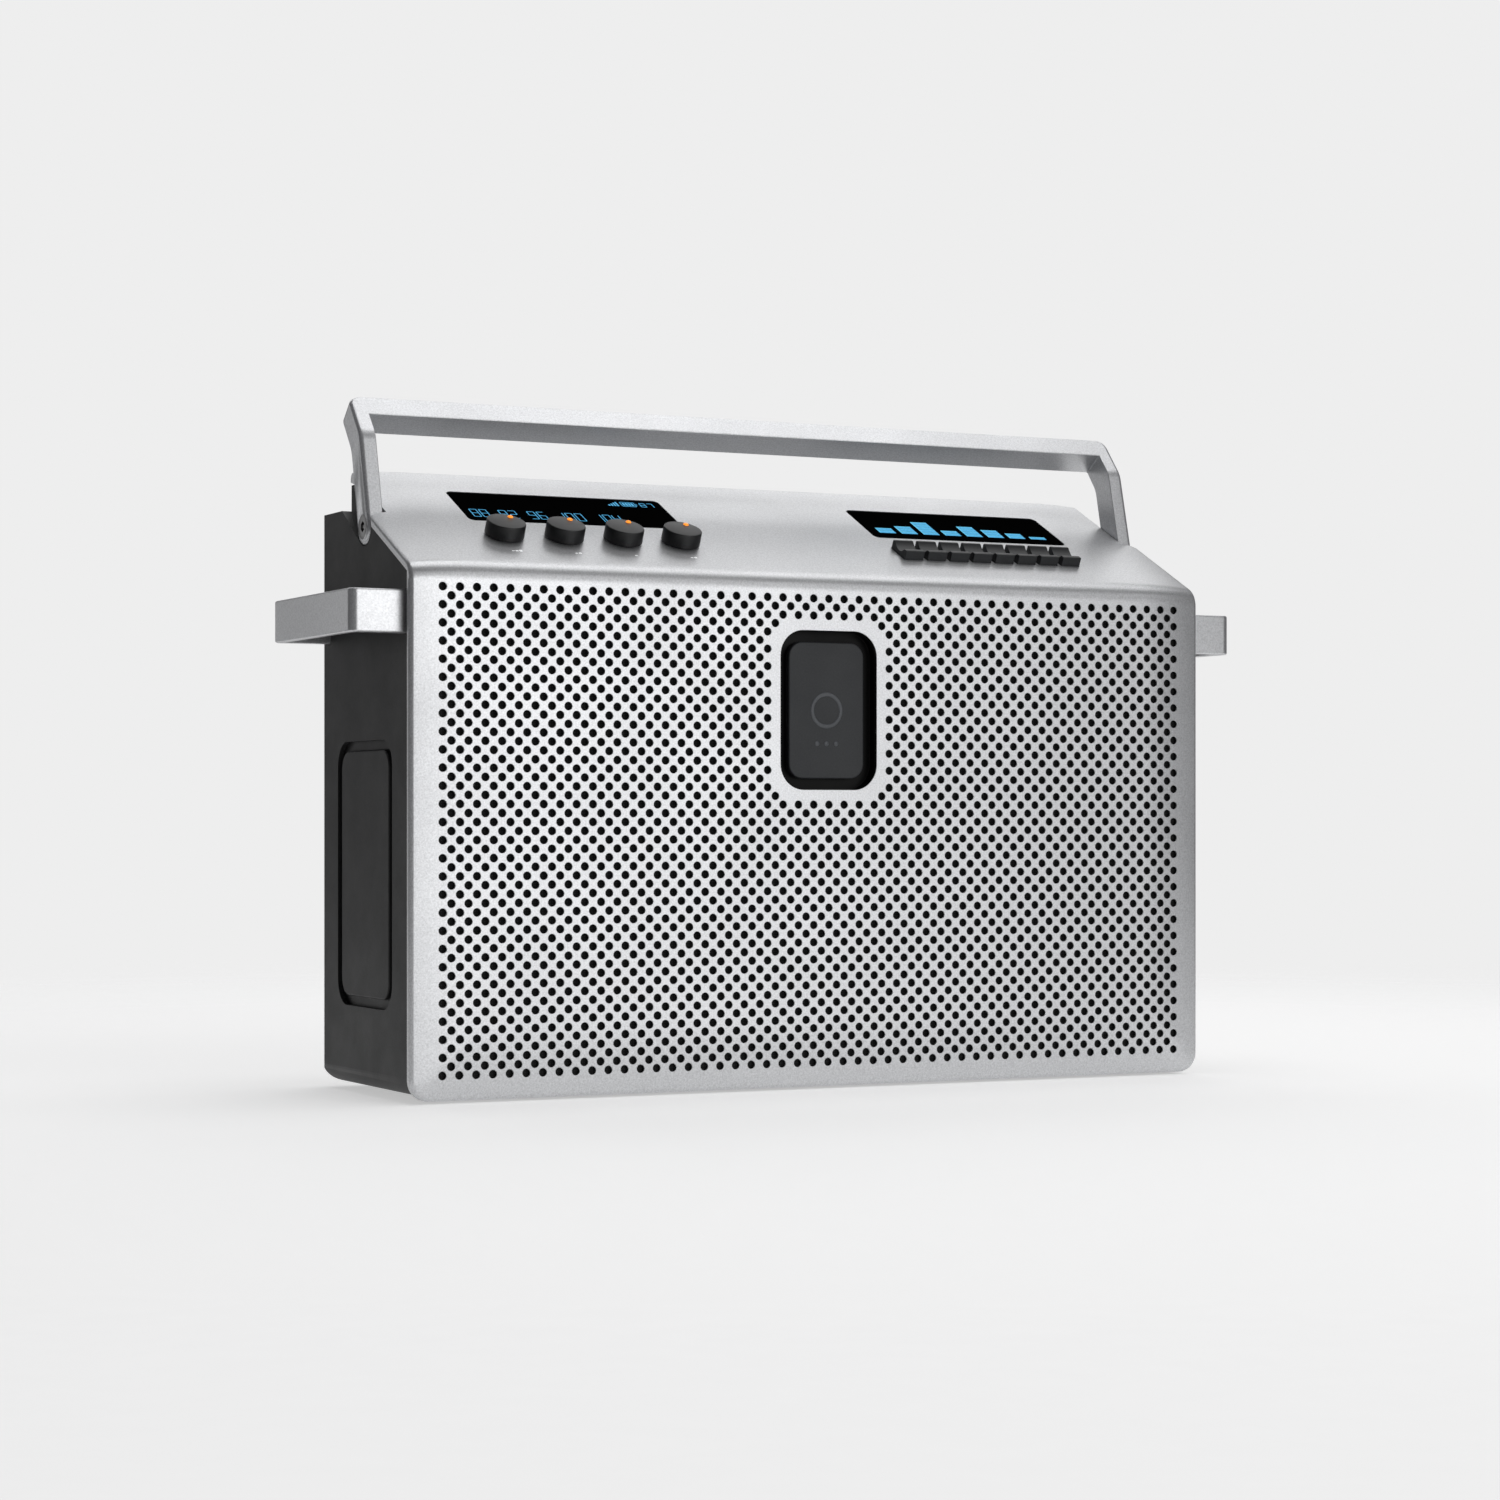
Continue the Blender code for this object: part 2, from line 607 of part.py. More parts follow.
def cut_rooms(housing):
    """Hollows the housing: the wide room below, and the narrower one under the cover."""
    floor = HOUSING_BOTTOM + HOUSING_WALL
    back = REAR_Y - HOUSING_WALL
    room = [(-THROUGH, floor), (back, floor), (back, ROOM_TOP), (-THROUGH, ROOM_TOP)]
    room = rounded(room, [0, ROOM_CORNER_R, 0, 0])
    inner = SIDE_HALF - HOUSING_WALL
    boolean(housing, prism("cut_room", room, "X", -inner, inner))
    low, ceiling = ROOM_TOP - THROUGH, LEDGE_Z - HOUSING_WALL
    wall = HEAD_REAR_Y - 2 * HOUSING_WALL
    above = EDGE_Z + REAR_Y
    head = [(-THROUGH, low), (back, low), (back, ceiling), (wall, ceiling)]
    head += [(wall, above), (-THROUGH, above)]
    inner = POCKET_FLOOR - HOUSING_WALL
    boolean(housing, prism("cut_head", head, "X", -inner, inner))


def add_pivot_bosses(housing):
    for side in (-1, 1):
        name = side_name(side)
        face = side * (ARM_INNER - GAP)
        boss = circle(PIVOT_Y, PIVOT_Z, PIVOT_BOSS_R, 20)
        root = side * (POCKET_FLOOR - PIVOT_BOSS_LENGTH)
        boolean(housing, prism("join_boss_" + name, boss, "X", root, face), "UNION")
        bore = circle(PIVOT_Y, PIVOT_Z, PIVOT_SHANK_R + 0.1 * MM, 16)
        reach = (root - side * MM, side * (ARM_OUTER + THROUGH))
        boolean(housing, prism("cut_bore_" + name, bore, "X", *reach))


def cut_side_openings(housing):
    for side in (-1, 1):
        name = side_name(side)
        start, end = side * (SIDE_HALF - 2 * THROUGH), side * (SIDE_HALF + THROUGH)
        pad = rounded_rect(SIDE_Y, SIDE_Z, SIDE_W, SIDE_H, SIDE_R)
        boolean(housing, prism("cut_side_" + name, pad, "X", start, end))
        for part, y in (("front", LOOP_FRONT), ("rear", LOOP_REAR - LOOP_BAR)):
            low, high = y - GAP, y + LOOP_BAR + GAP
            slot = rounded_rect((low + high) / 2, (LOOP_BOTTOM + LOOP_TOP) / 2,
                                high - low, LOOP_TOP - LOOP_BOTTOM + 2 * GAP, 0.4 * MM, 1)
            label = f"cut_slot_{part}_{name}"
            boolean(housing, prism(label, slot, "X", start, end))


def cut_rear_openings(housing):
    plate = rounded_rect(0, PLATE_Z, PLATE_W + 2 * GAP, PLATE_H + 2 * GAP, PLATE_R + GAP)
    end = REAR_Y + THROUGH
    boolean(housing, prism("cut_plate", plate, "Y", REAR_Y - 4 * THROUGH, end))
    for i, (x, z) in enumerate(screw_places()):
        for part, radius, depth in (
            ("hole", SCREW_HOLE_R, SCREW_HOLE_DEPTH),
            ("seat", SCREW_SEAT_R, SCREW_SEAT_DEPTH),
        ):
            name = f"cut_screw_{part}_{i + 1}"
            boolean(housing, prism(name, circle(x, z, radius, 16), "Y", REAR_Y - depth, end))


def screw_places():
    return [(x, z) for x in (-SCREW_X, SCREW_X) for z in SCREW_ZS]


def make_rear_details():
    plate = rounded_rect(0, PLATE_Z, PLATE_W, PLATE_H, PLATE_R)
    face = REAR_Y - PLATE_SUNK
    prism("connector_plate", plate, "Y", face - PLATE_THICK, face, CHARCOAL)
    profile = [(0, -11), (1.5, -11), (1.5, -1), (3.2, -1), (3.2, -0.3), (2.9, -0.1), (0, -0.1)]
    for i, (x, z) in enumerate(screw_places()):
        place = facing((x, REAR_Y, z), (0, 1, 0))
        lathe(f"case_screw_{i + 1}", in_metres(profile), STEEL, place, 16)


def make_feet():
    places = [(x, y) for x in (-FOOT_X, FOOT_X) for y in FOOT_YS]
    top = HOUSING_BOTTOM - GAP
    profile = [(0, 0), (FOOT_R - MM, 0), (FOOT_R, 0.8 * MM), (FOOT_R, top), (0, top)]
    for i, (x, y) in enumerate(places):
        lathe(f"foot_{i + 1}", profile, RUBBER, Matrix.Translation((x, y, 0)), 20)


def make_side_pads():
    """The insert behind each side opening, with its raised pad level with the side."""
    for side in (-1, 1):
        inner = SIDE_HALF - HOUSING_WALL - GAP
        width, height = SIDE_W + 2 * PAD_FLANGE, SIDE_H + 2 * PAD_FLANGE
        plate = rounded_rect(SIDE_Y, SIDE_Z, width, height, SIDE_R + PAD_FLANGE)
        name = side_name(side)
        start, end = side * (inner - PAD_THICK), side * inner
        pad = prism("side_pad_" + name, plate, "X", start, end, BLACK)
        width, height = SIDE_W - 2 * SIDE_GROOVE, SIDE_H - 2 * SIDE_GROOVE
        raised = rounded_rect(SIDE_Y, SIDE_Z, width, height, PAD_R)
        start, end = side * (inner - MM), side * (SIDE_HALF - 0.2 * MM)
        boolean(pad, prism("join_pad_" + name, raised, "X", start, end), "UNION")


# ---------------------------------------------------------------- handle and strap loops


def arm_outline():
    front, rear = ARM_FRONT_KINK, ARM_REAR_KINK
    end = arm_end((-ARM_END_DROP * 0.25, -ARM_END_DROP * 0.97), ARM_END_R, front, rear)
    corners = end + [rear, ARM_REAR_TOP, ARM_FRONT_TOP, front]
    return rounded(corners, [0] * len(end) + [KINK_R, 0, 0, KINK_R], 4)


def grip_outline():
    """The grip's section: the arm's top end, cut off across the arm."""
    lean = Vector(ARM_FRONT_TOP) - Vector(ARM_FRONT_KINK)
    down = lean.normalized() * -GRIP_UNDER
    front, rear = Vector(ARM_FRONT_TOP), Vector(ARM_REAR_TOP)
    return [tuple(front), tuple(rear), tuple(rear + down * 0.82), tuple(front + down)]


def make_handle():
    pivot = bpy.data.objects.new("handle_pivot", None)
    pivot.location = (0, PIVOT_Y, PIVOT_Z)
    bpy.context.scene.collection.objects.link(pivot)
    inner = ARM_INNER - GAP
    grip = prism("handle_grip", grip_outline(), "X", -inner, inner, SILVER)
    grip.parent = pivot
    for side in (-1, 1):
        name = side_name(side)
        start, end = side * ARM_INNER, side * ARM_OUTER
        arm = prism("handle_arm_" + name, arm_outline(), "X", start, end, SILVER)
        beyond = side * (ARM_OUTER + THROUGH)
        bore = circle(0, 0, PIVOT_SHANK_R + 0.1 * MM, 20)
        bore = prism("cut_arm_bore_" + name, bore, "X", start - side * THROUGH, beyond)
        head = circle(0, 0, PIVOT_HEAD_R + 0.1 * MM, 24)
        floor = end - side * (PIVOT_HEAD_THICK + PIVOT_HEAD_SUNK + GAP)
        head = prism("cut_arm_head_" + name, head, "X", floor, beyond)
        for cutter in (bore, head):
            boolean(arm, cutter)
            cutter.parent = pivot
        arm.parent = pivot
        make_pivot_screw(side)


def make_pivot_screw(side):
    """A shoulder screw with a flush flat head and a hexagon recess, in the arm's counterbore."""
    top, end = -PIVOT_HEAD_SUNK, -PIVOT_SHANK_LENGTH
    under = top - PIVOT_HEAD_THICK
    profile = [(0, end), (PIVOT_SHANK_R, end), (PIVOT_SHANK_R, under), (PIVOT_HEAD_R, under)]
    profile += [(PIVOT_HEAD_R, top), (0, top)]
    place = facing((side * ARM_OUTER, PIVOT_Y, PIVOT_Z), (side, 0, 0))
    screw = lathe("pivot_screw_" + side_name(side), profile, STEEL, place, 24)
    recess = circle(0, 0, PIVOT_HEX_R, 6)
    name = "cut_hex_" + side_name(side)
    boolean(screw, prism(name, recess, "Z", -PIVOT_HEX_DEPTH, THROUGH, None, place))


def make_strap_loops():
    for side in (-1, 1):
        out, inside = LOOP_OUTER, LOOP_OUTER - LOOP_BAR
        corners = [
            (LOOP_ROOT, LOOP_FRONT), (out, LOOP_FRONT), (out, LOOP_REAR), (LOOP_ROOT, LOOP_REAR),
            (LOOP_ROOT, LOOP_REAR - LOOP_BAR), (inside, LOOP_REAR - LOOP_BAR),
            (inside, LOOP_FRONT + LOOP_BAR), (LOOP_ROOT, LOOP_FRONT + LOOP_BAR),
        ]
        radii = [0, LOOP_CORNER_R, LOOP_CORNER_R, 0, 0, MM, MM, 0]
        outline = [(side * x, y) for x, y in rounded(corners, radii, 4)]
        prism("strap_loop_" + side_name(side), outline, "Z", LOOP_BOTTOM, LOOP_TOP, SILVER)


# ---------------------------------------------------------------- control deck


def knob_x(i):
    return KNOB_ROW_X + (i - (KNOB_COUNT - 1) / 2) * KNOB_PITCH


def key_x(i):
    return KEY_ROW_X + (i - (KEY_COUNT - 1) / 2) * KEY_PITCH


def key_row_width():
    return (KEY_COUNT - 1) * KEY_PITCH + KEY_W


def make_displays():
    for side in (-1, 1):
        name = side_name(side)
        place = deck_place(side * DISPLAY_X, DISPLAY_S)
        lens = rounded_rect(0, 0, DISPLAY_W, DISPLAY_H, DISPLAY_R, 4)
        back = -LENS_SUNK - LENS_THICK
        prism("display_lens_" + name, lens, "Z", back, -LENS_SUNK, LENS, place)
        module = rounded_rect(0, 0, DISPLAY_W - 2 * MM, DISPLAY_H - 2 * MM, MM, 1)
        top = back - GAP
        prism("display_module_" + name, module, "Z", top - MODULE_THICK, top, BOARD, place)


def make_knobs():
    bore = SHAFT_R + 0.1 * MM
    knob = [
        (0, KNOB_TOP_N), (KNOB_R - KNOB_RIM, KNOB_TOP_N),
        (KNOB_R - 0.2 * MM, KNOB_TOP_N - 0.25 * MM), (KNOB_R, KNOB_TOP_N - KNOB_RIM),
        (KNOB_R + 0.15 * MM, KNOB_BASE_N + 0.4 * MM), (KNOB_R - 0.3 * MM, KNOB_BASE_N),
        (bore, KNOB_BASE_N), (bore, KNOB_BORE_N), (0, KNOB_BORE_N),
    ]
    top = KNOB_BORE_N - GAP
    shaft = [(0, SHAFT_LOW_N), (SHAFT_R, SHAFT_LOW_N), (SHAFT_R, top), (0, top)]
    for i in range(KNOB_COUNT):
        place = deck_place(knob_x(i), KNOB_S)
        lathe(f"knob_{i + 1}", knob, CHARCOAL, place, 28)
        lathe(f"knob_shaft_{i + 1}", shaft, STEEL, place, 16)
        box = rounded_rect(0, 0, ENCODER_SIDE, ENCODER_SIDE, MM, 1)
        levels = (ENCODER_LOW_N, ENCODER_TOP_N)
        encoder = prism(f"encoder_body_{i + 1}", box, "Z", *levels, STEEL, place)
        well = circle(0, 0, SHAFT_R + GAP, 16)
        floor = SHAFT_LOW_N - 0.4 * MM
        boolean(encoder, prism(f"cut_encoder_{i + 1}", well, "Z", floor, 0, None, place))


def key_outline():
    """A key in the side view: a raised rear edge, a hollow for the finger and a thick front lip."""
    half = KEY_LENGTH / 2
    lip, crest = -half + KEY_LIP, half - KEY_CREST
    outline = [(-half, KEY_BASE_N), (-half, KEY_TOP_N), (lip, KEY_TOP_N)]
    steps = 6
    for i in range(1, steps):
        y = lip + (crest - lip) * i / steps
        sag = math.sin(math.pi * i / steps)
        outline.append((y, KEY_TOP_N - (KEY_TOP_N - KEY_DISH_N) * sag))
    return outline + [(crest, KEY_TOP_N), (half, KEY_TOP_N - 0.4 * MM), (half, KEY_BASE_N)]


def make_keys():
    half = KEY_W / 2
    for i in range(KEY_COUNT):
        place = deck_place(key_x(i), KEY_S)
        prism(f"key_{i + 1}", key_outline(), "X", -half, half, KEY_GREY, place)
    place = deck_place(KEY_ROW_X, KEY_S)
    width = key_row_width() + 2 * KEY_TRAY_RIM
    height = KEY_LENGTH + 2 * KEY_TRAY_RIM
    floor = KEY_BASE_N - KEY_TRAVEL - 0.5 * MM
    tray = rounded_rect(0, 0, width, height, KEY_TRAY_WALL, 2)
    levels = (floor - KEY_TRAY_FLOOR, -SHELL_WALL - GAP)
    tray = prism("key_tray", tray, "Z", *levels, BLACK, place)
    wall = 2 * KEY_TRAY_WALL
    inside = rounded_rect(0, 0, width - wall, height - wall, KEY_TRAY_WALL / 2, 2)
    boolean(tray, prism("cut_key_tray", inside, "Z", floor, THROUGH, None, place))


def make_boards():
    place = deck_place(0, KNOB_S - 2 * MM)
    board = rounded_rect(0, 0, 340 * MM, 30 * MM, 1 * MM, 1)
    prism("control_board", board, "Z", -13.2 * MM, -11.6 * MM, BOARD, place)
    board = rounded_rect(0, 78 * MM, 150 * MM, 66 * MM, 1 * MM, 1)
    prism("amplifier_board", board, "Z", 34 * MM, 35.6 * MM, BOARD)
    pack = rounded_rect(0, 78 * MM, 160 * MM, 56 * MM, 3 * MM, 2)
    low = HOUSING_BOTTOM + HOUSING_WALL + GAP
    prism("battery_pack", pack, "Z", low, low + 22 * MM, BATTERY)


# ---------------------------------------------------------------- speakers


def make_speakers():
    back = BAFFLE_BACK + GAP
    frame = [
        (66, 0), (66, 3), (60, 3), (38, 34), (34, 40), (16, 40), (16, 37.5),
        (33, 37.5), (36, 33), (57.5, 2.6), (57.5, 0),
    ]
    magnet = [(0, 40.4), (33, 40.4), (35, 42), (35, 56), (33, 58), (0, 58)]
    cone = [
        (0, 12), (8, 13.5), (14, 17.5), (53, -1.8), (55, -3.4), (56.8, -2.2), (56.8, -1),
        (54.6, -2.2), (53, -0.4), (15, 18.8), (15, 35), (13.5, 35), (13.5, 19), (7, 15), (0, 13.4),
    ]
    tweeter = [
        (0, -1.5), (6, -2), (11, -4.5), (12, -6), (18.6, -6), (18.6, 0), (24, 0), (24, 2.5),
        (16, 2.5), (16, 16), (0, 16),
    ]
    for side in (-1, 1):
        name = side_name(side)
        place = facing((side * WOOFER_X, back, WOOFER_Z), (0, 1, 0))
        for part, profile, finish in (
            ("woofer_frame_", frame, STEEL),
            ("woofer_magnet_", magnet, FERRITE),
            ("woofer_cone_", cone, PAPER),
        ):
            lathe(part + name, in_metres(profile), finish, place, 26)
        place = facing((side * TWEETER_X, back, TWEETER_Z), (0, 1, 0))
        lathe("tweeter_" + name, in_metres(tweeter), FERRITE, place, 24)


def centre_on_box():
    """Moves everything forward, from a front face at y = 0 to a box centred on the origin."""
    for obj in bpy.data.objects:
        if not obj.parent:
            obj.location.y -= REAR_Y / 2


def main():
    clear_scene()
    make_front_shell()
    make_grille_backing()
    make_window()
    make_housing()
    make_rear_details()
    make_feet()
    make_side_pads()
    make_handle()
    make_strap_loops()
    make_displays()
    make_knobs()
    make_keys()
    make_boards()
    make_speakers()
    centre_on_box()


main()
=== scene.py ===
"""Looks of the portable radio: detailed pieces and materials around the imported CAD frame."""

import json
from math import acos, atan2, cos, hypot, pi, radians, sin, sqrt, tan

import bmesh
import bpy
from mathutils import Matrix, Vector


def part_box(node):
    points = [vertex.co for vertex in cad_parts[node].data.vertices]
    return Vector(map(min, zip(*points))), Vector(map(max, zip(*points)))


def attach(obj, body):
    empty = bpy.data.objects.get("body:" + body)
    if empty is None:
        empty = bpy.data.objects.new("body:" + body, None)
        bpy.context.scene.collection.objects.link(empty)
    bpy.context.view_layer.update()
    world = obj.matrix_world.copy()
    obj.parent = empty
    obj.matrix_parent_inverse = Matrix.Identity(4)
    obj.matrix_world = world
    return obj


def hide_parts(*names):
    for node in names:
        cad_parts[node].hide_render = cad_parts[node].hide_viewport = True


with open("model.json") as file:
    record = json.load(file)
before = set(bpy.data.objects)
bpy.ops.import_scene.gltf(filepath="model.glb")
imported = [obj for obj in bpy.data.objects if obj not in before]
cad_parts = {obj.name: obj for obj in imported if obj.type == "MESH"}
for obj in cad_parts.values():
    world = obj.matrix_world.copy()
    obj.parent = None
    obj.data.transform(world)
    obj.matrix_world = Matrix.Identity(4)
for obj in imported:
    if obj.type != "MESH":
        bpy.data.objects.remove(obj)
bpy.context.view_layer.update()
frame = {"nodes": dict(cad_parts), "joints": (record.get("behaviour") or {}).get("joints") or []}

MM = 0.001

SIDES = (("left", -1), ("right", 1))

# Where things are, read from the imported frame
shell_low, shell_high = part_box("front_shell")
house_low, house_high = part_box("rear_housing")
arm_low, arm_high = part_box("handle_arm_right")
UPPER_HALF = arm_low.x - 0.4 * MM  # half the width of the cover between the arms
FRONT_Y = shell_low.y
FORWARD = Matrix.Translation((0, FRONT_Y, 0))  # from lengths behind the front face to the world
LIP_HALF = shell_high.x
BOTTOM = shell_low.z
COVER_REAR = shell_high.y
SIDE_HALF = house_high.x
REAR = house_high.y - FRONT_Y
joints = {joint["name"]: joint for joint in frame["joints"]}
PIVOT = Vector(joints["handle_swing"]["pos_m"])
PIVOT_Y = PIVOT.y - FRONT_Y
DECK_OUT = Vector(joints["knob_1_turn"]["axis"]).normalized()
DECK_ANGLE = atan2(-DECK_OUT.y, DECK_OUT.z)
KNOBS = [Vector(joints[f"knob_{i}_turn"]["pos_m"]) for i in range(1, 5)]
EDGE_Z = KNOBS[0].z - (KNOBS[0].y - FRONT_Y) * tan(DECK_ANGLE)

# The front shell
BEND_R = 12.0 * MM
BEND_STEPS = 12
CORNER_R = 9.5 * MM
SHELL_WALL = 0.7 * MM
RIM_WALL = 1.5 * MM
LIP_DEPTH = 5.8 * MM
DECK_LIP = 5.4 * MM
STEP_Y = 57.0 * MM
STEP_R = 6.0 * MM
REAR_LIP_Z = 283.5 * MM
PILLOW_WIDTH = 32.0 * MM
PILLOW_DEPTH = 2.2 * MM
EDGE_FILLET = 1.9 * MM
HOLE_PITCH = 4.0 * MM
HOLE_SIDES = 11
HOLE_RINGS = ((-0.4, 2.45), (0.12, 1.95), (4.0, 1.95))  # (depth, radius) in mm, chamfer first
HOLE_COLUMNS, HOLE_ROWS = 97, 55
HOLE_TOP = EDGE_Z - 9.9 * MM
EDGES = (0, 0.25, 0.6, 1.0, 1.4, 1.9, 3, 5, 8, 12, 17, 24, 32)  # mm in from the outline
TRUE_NORMAL_REACH = 0.12 * MM  # a vertex this near the face's curve takes its normal
TRUE_NORMAL_SHARE = 0.93  # on faces whose own normal is at least this close to it


# ------ meshes


def rounded(points, radii, steps=6):
    """The polygon with each corner of radius above 0 turned into an arc."""
    outline = []
    count = len(points)
    for i, (corner, radius) in enumerate(zip(points, radii)):
        corner = Vector(corner)
        if radius <= 0:
            outline.append(tuple(corner))
            continue
        to_last = (Vector(points[i - 1]) - corner).normalized()
        to_next = (Vector(points[(i + 1) % count]) - corner).normalized()
        half = to_last.angle(to_next) / 2
        centre = corner + (to_last + to_next).normalized() * (radius / sin(half))
        first = corner + to_last * (radius / tan(half)) - centre
        last = corner + to_next * (radius / tan(half)) - centre
        turn = first.angle_signed(last)
        for step in range(steps + 1):
            spoke = Matrix.Rotation(-turn * step / steps, 2) @ first
            outline.append(tuple(centre + spoke))
    return outline


def rounded_rect(cx, cy, width, height, radius, steps=6):
    x, y = width / 2, height / 2
    corners = [(cx - x, cy - y), (cx + x, cy - y), (cx + x, cy + y), (cx - x, cy + y)]
    return rounded(corners, [radius] * 4, steps)


def circle(cx, cy, radius, steps):
    turn = 2 * pi / steps
    return [(cx + radius * cos(i * turn), cy + radius * sin(i * turn))
            for i in range(steps)]


def skin(bm, low, high):
    """The faces between two rings of as many vertices."""
    for i in range(len(low)):
        j = (i + 1) % len(low)
        bm.faces.new((low[i], low[j], high[j], high[i]))


def add_loft(bm, sections):
    """Adds a closed body through these rings of points."""
    rings = [[bm.verts.new(point) for point in section] for section in sections]
    for low, high in zip(rings, rings[1:]):
        skin(bm, low, high)
    bm.faces.new(rings[0])
    bm.faces.new(rings[-1])


def loft(sections):
    bm = bmesh.new()
    add_loft(bm, sections)
    return bm


def prism_mesh(outline, axis, start, end):
    """The outline, which lies square to the axis, extruded from start to end along it."""
    at = "XYZ".index(axis)
    return loft([[(*p[:at], c, *p[at:]) for p in outline] for c in (start, end)])


def forward(outline, axis, start, end):
    """A prism to cut or join with, in lengths behind the front face."""
    return prism_mesh(outline, axis, start, end), FORWARD


def lathe_mesh(profile, segments):
    """Turned about Z from (radius, height) points in mm; a radius of 0 closes it."""
    bm = bmesh.new()
    rings = []
    for radius, height in profile:
        radius, height = radius * MM, height * MM
        if radius == 0:
            rings.append([bm.verts.new((0, 0, height))] * segments)
            continue
        rings.append([bm.verts.new((x, y, height)) for x, y in circle(0, 0, radius, segments)])
    pairs = list(zip(rings, rings[1:]))
    if profile[0][0] > 0 and profile[-1][0] > 0:
        pairs.append((rings[-1], rings[0]))
    for low, high in pairs:
        for i in range(segments):
            j = (i + 1) % segments
            corners = dict.fromkeys((low[i], low[j], high[j], high[i]))
            if len(corners) > 2:
                bm.faces.new(list(corners))
    return bm


def add_object(name, data):
    obj = bpy.data.objects.new(name, data)
    bpy.context.scene.collection.objects.link(obj)
    return obj


def mesh_object(name, bm, material=None, matrix=None):
    bmesh.ops.recalc_face_normals(bm, faces=bm.faces)
    mesh = bpy.data.meshes.new(name)
    bm.to_mesh(mesh)
    bm.free()
    obj = add_object(name, mesh)
    if material:
        mesh.materials.append(material)
    if matrix:
        obj.matrix_world = matrix
    bpy.context.view_layer.update()
    return obj


def applied(obj):
    """The object's mesh with its modifiers applied, and the modifiers gone."""
    graph = bpy.context.evaluated_depsgraph_get()
    mesh = bpy.data.meshes.new_from_object(obj.evaluated_get(graph), depsgraph=graph)
    obj.modifiers.clear()
    return mesh


def settle(obj, angle=30):
    """Applies the object's modifiers, joins what nearly touches, smooths between sharp edges."""
    mesh = applied(obj)
    bm = bmesh.new()
    bm.from_mesh(mesh)
    bmesh.ops.remove_doubles(bm, verts=bm.verts, dist=0.002 * MM)
    bm.to_mesh(mesh)
    bm.free()
    obj.data = mesh
    mesh.shade_smooth()
    mesh.set_sharp_from_angle(angle=radians(angle))


def cut(obj, cutters, operation="DIFFERENCE"):
    """Cuts, joins or intersects with (bmesh, matrix) helpers, and leaves none of them behind."""
    helpers = []
    for bm, matrix in cutters:
        helper = mesh_object("helper", bm, None, matrix)
        modifier = obj.modifiers.new("cut", "BOOLEAN")
        modifier.operation = operation
        modifier.solver = "MANIFOLD"
        modifier.object = helper
        helpers.append(helper)
    settle(obj)
    for helper in helpers:
        bpy.data.objects.remove(helper, do_unlink=True)


def even_normals(obj):
    """Lets the large faces set the normals, so that they stay flat beside rounded edges."""
    even = obj.modifiers.new("even", "WEIGHTED_NORMAL")
    even.keep_sharp = True
    even.weight = 80
    obj.data = applied(obj)


def bevel(obj, width, segments=3, angle=35, weight=None):
    """Rounds the sharp edges; weight(midpoint, edge) gives each its share of the width."""
    modifier = obj.modifiers.new("bevel", "BEVEL")
    modifier.width = width
    modifier.segments = segments
    modifier.limit_method = "ANGLE"
    modifier.angle_limit = radians(angle)
    modifier.miter_outer = "MITER_ARC"
    if weight:
        bm = bmesh.new()
        bm.from_mesh(obj.data)
        layer = bm.edges.layers.float.new("bevel_weight_edge")
        for edge in bm.edges:
            if len(edge.link_faces) == 2 and edge.calc_face_angle(0) > radians(angle):
                edge[layer] = weight((edge.verts[0].co + edge.verts[1].co) / 2, edge)
        bm.to_mesh(obj.data)
        bm.free()
        modifier.limit_method = "WEIGHT"
    settle(obj, 50)
    even_normals(obj)


def piece(obj, body, nodes=()):
    """Hands a finished piece to the frame."""
    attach(obj, body)
    if nodes:
        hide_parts(*nodes)


def extruded(name, outline, axis, start, end, material, place=FORWARD):
    return mesh_object(name, prism_mesh(outline, axis, start, end), material, place)


def turned(name, profile, segments, material, place, angle, body, slot, nodes=()):
    """A finished piece that a lathe could make, smooth below the angle."""
    obj = mesh_object(name, lathe_mesh(profile, segments), material, place)
    settle(obj, angle)
    piece(obj, body, nodes)


def deck_frame(x, s, n=0.0):
    """A point of the deck's own frame: X across, local Y up the slope, local Z out of it."""
    base = Matrix.Translation((0, FRONT_Y, EDGE_Z)) @ Matrix.Rotation(DECK_ANGLE, 4, "X")
    return base @ Matrix.Translation((x, s, n))


def on_deck(point):
    """(x, s, n) of a world point in the deck's frame."""
    return deck_frame(0, 0).inverted() @ Vector(point)


def facing(location, direction):
    turn = Vector((0, 0, 1)).rotation_difference(Vector(direction))
    return Matrix.Translation(location) @ turn.to_matrix().to_4x4()


def middle_of(node):
    """The middle of a CAD node's box."""
    return [(low + high) / 2 for low, high in zip(*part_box(node))]


# ------ materials


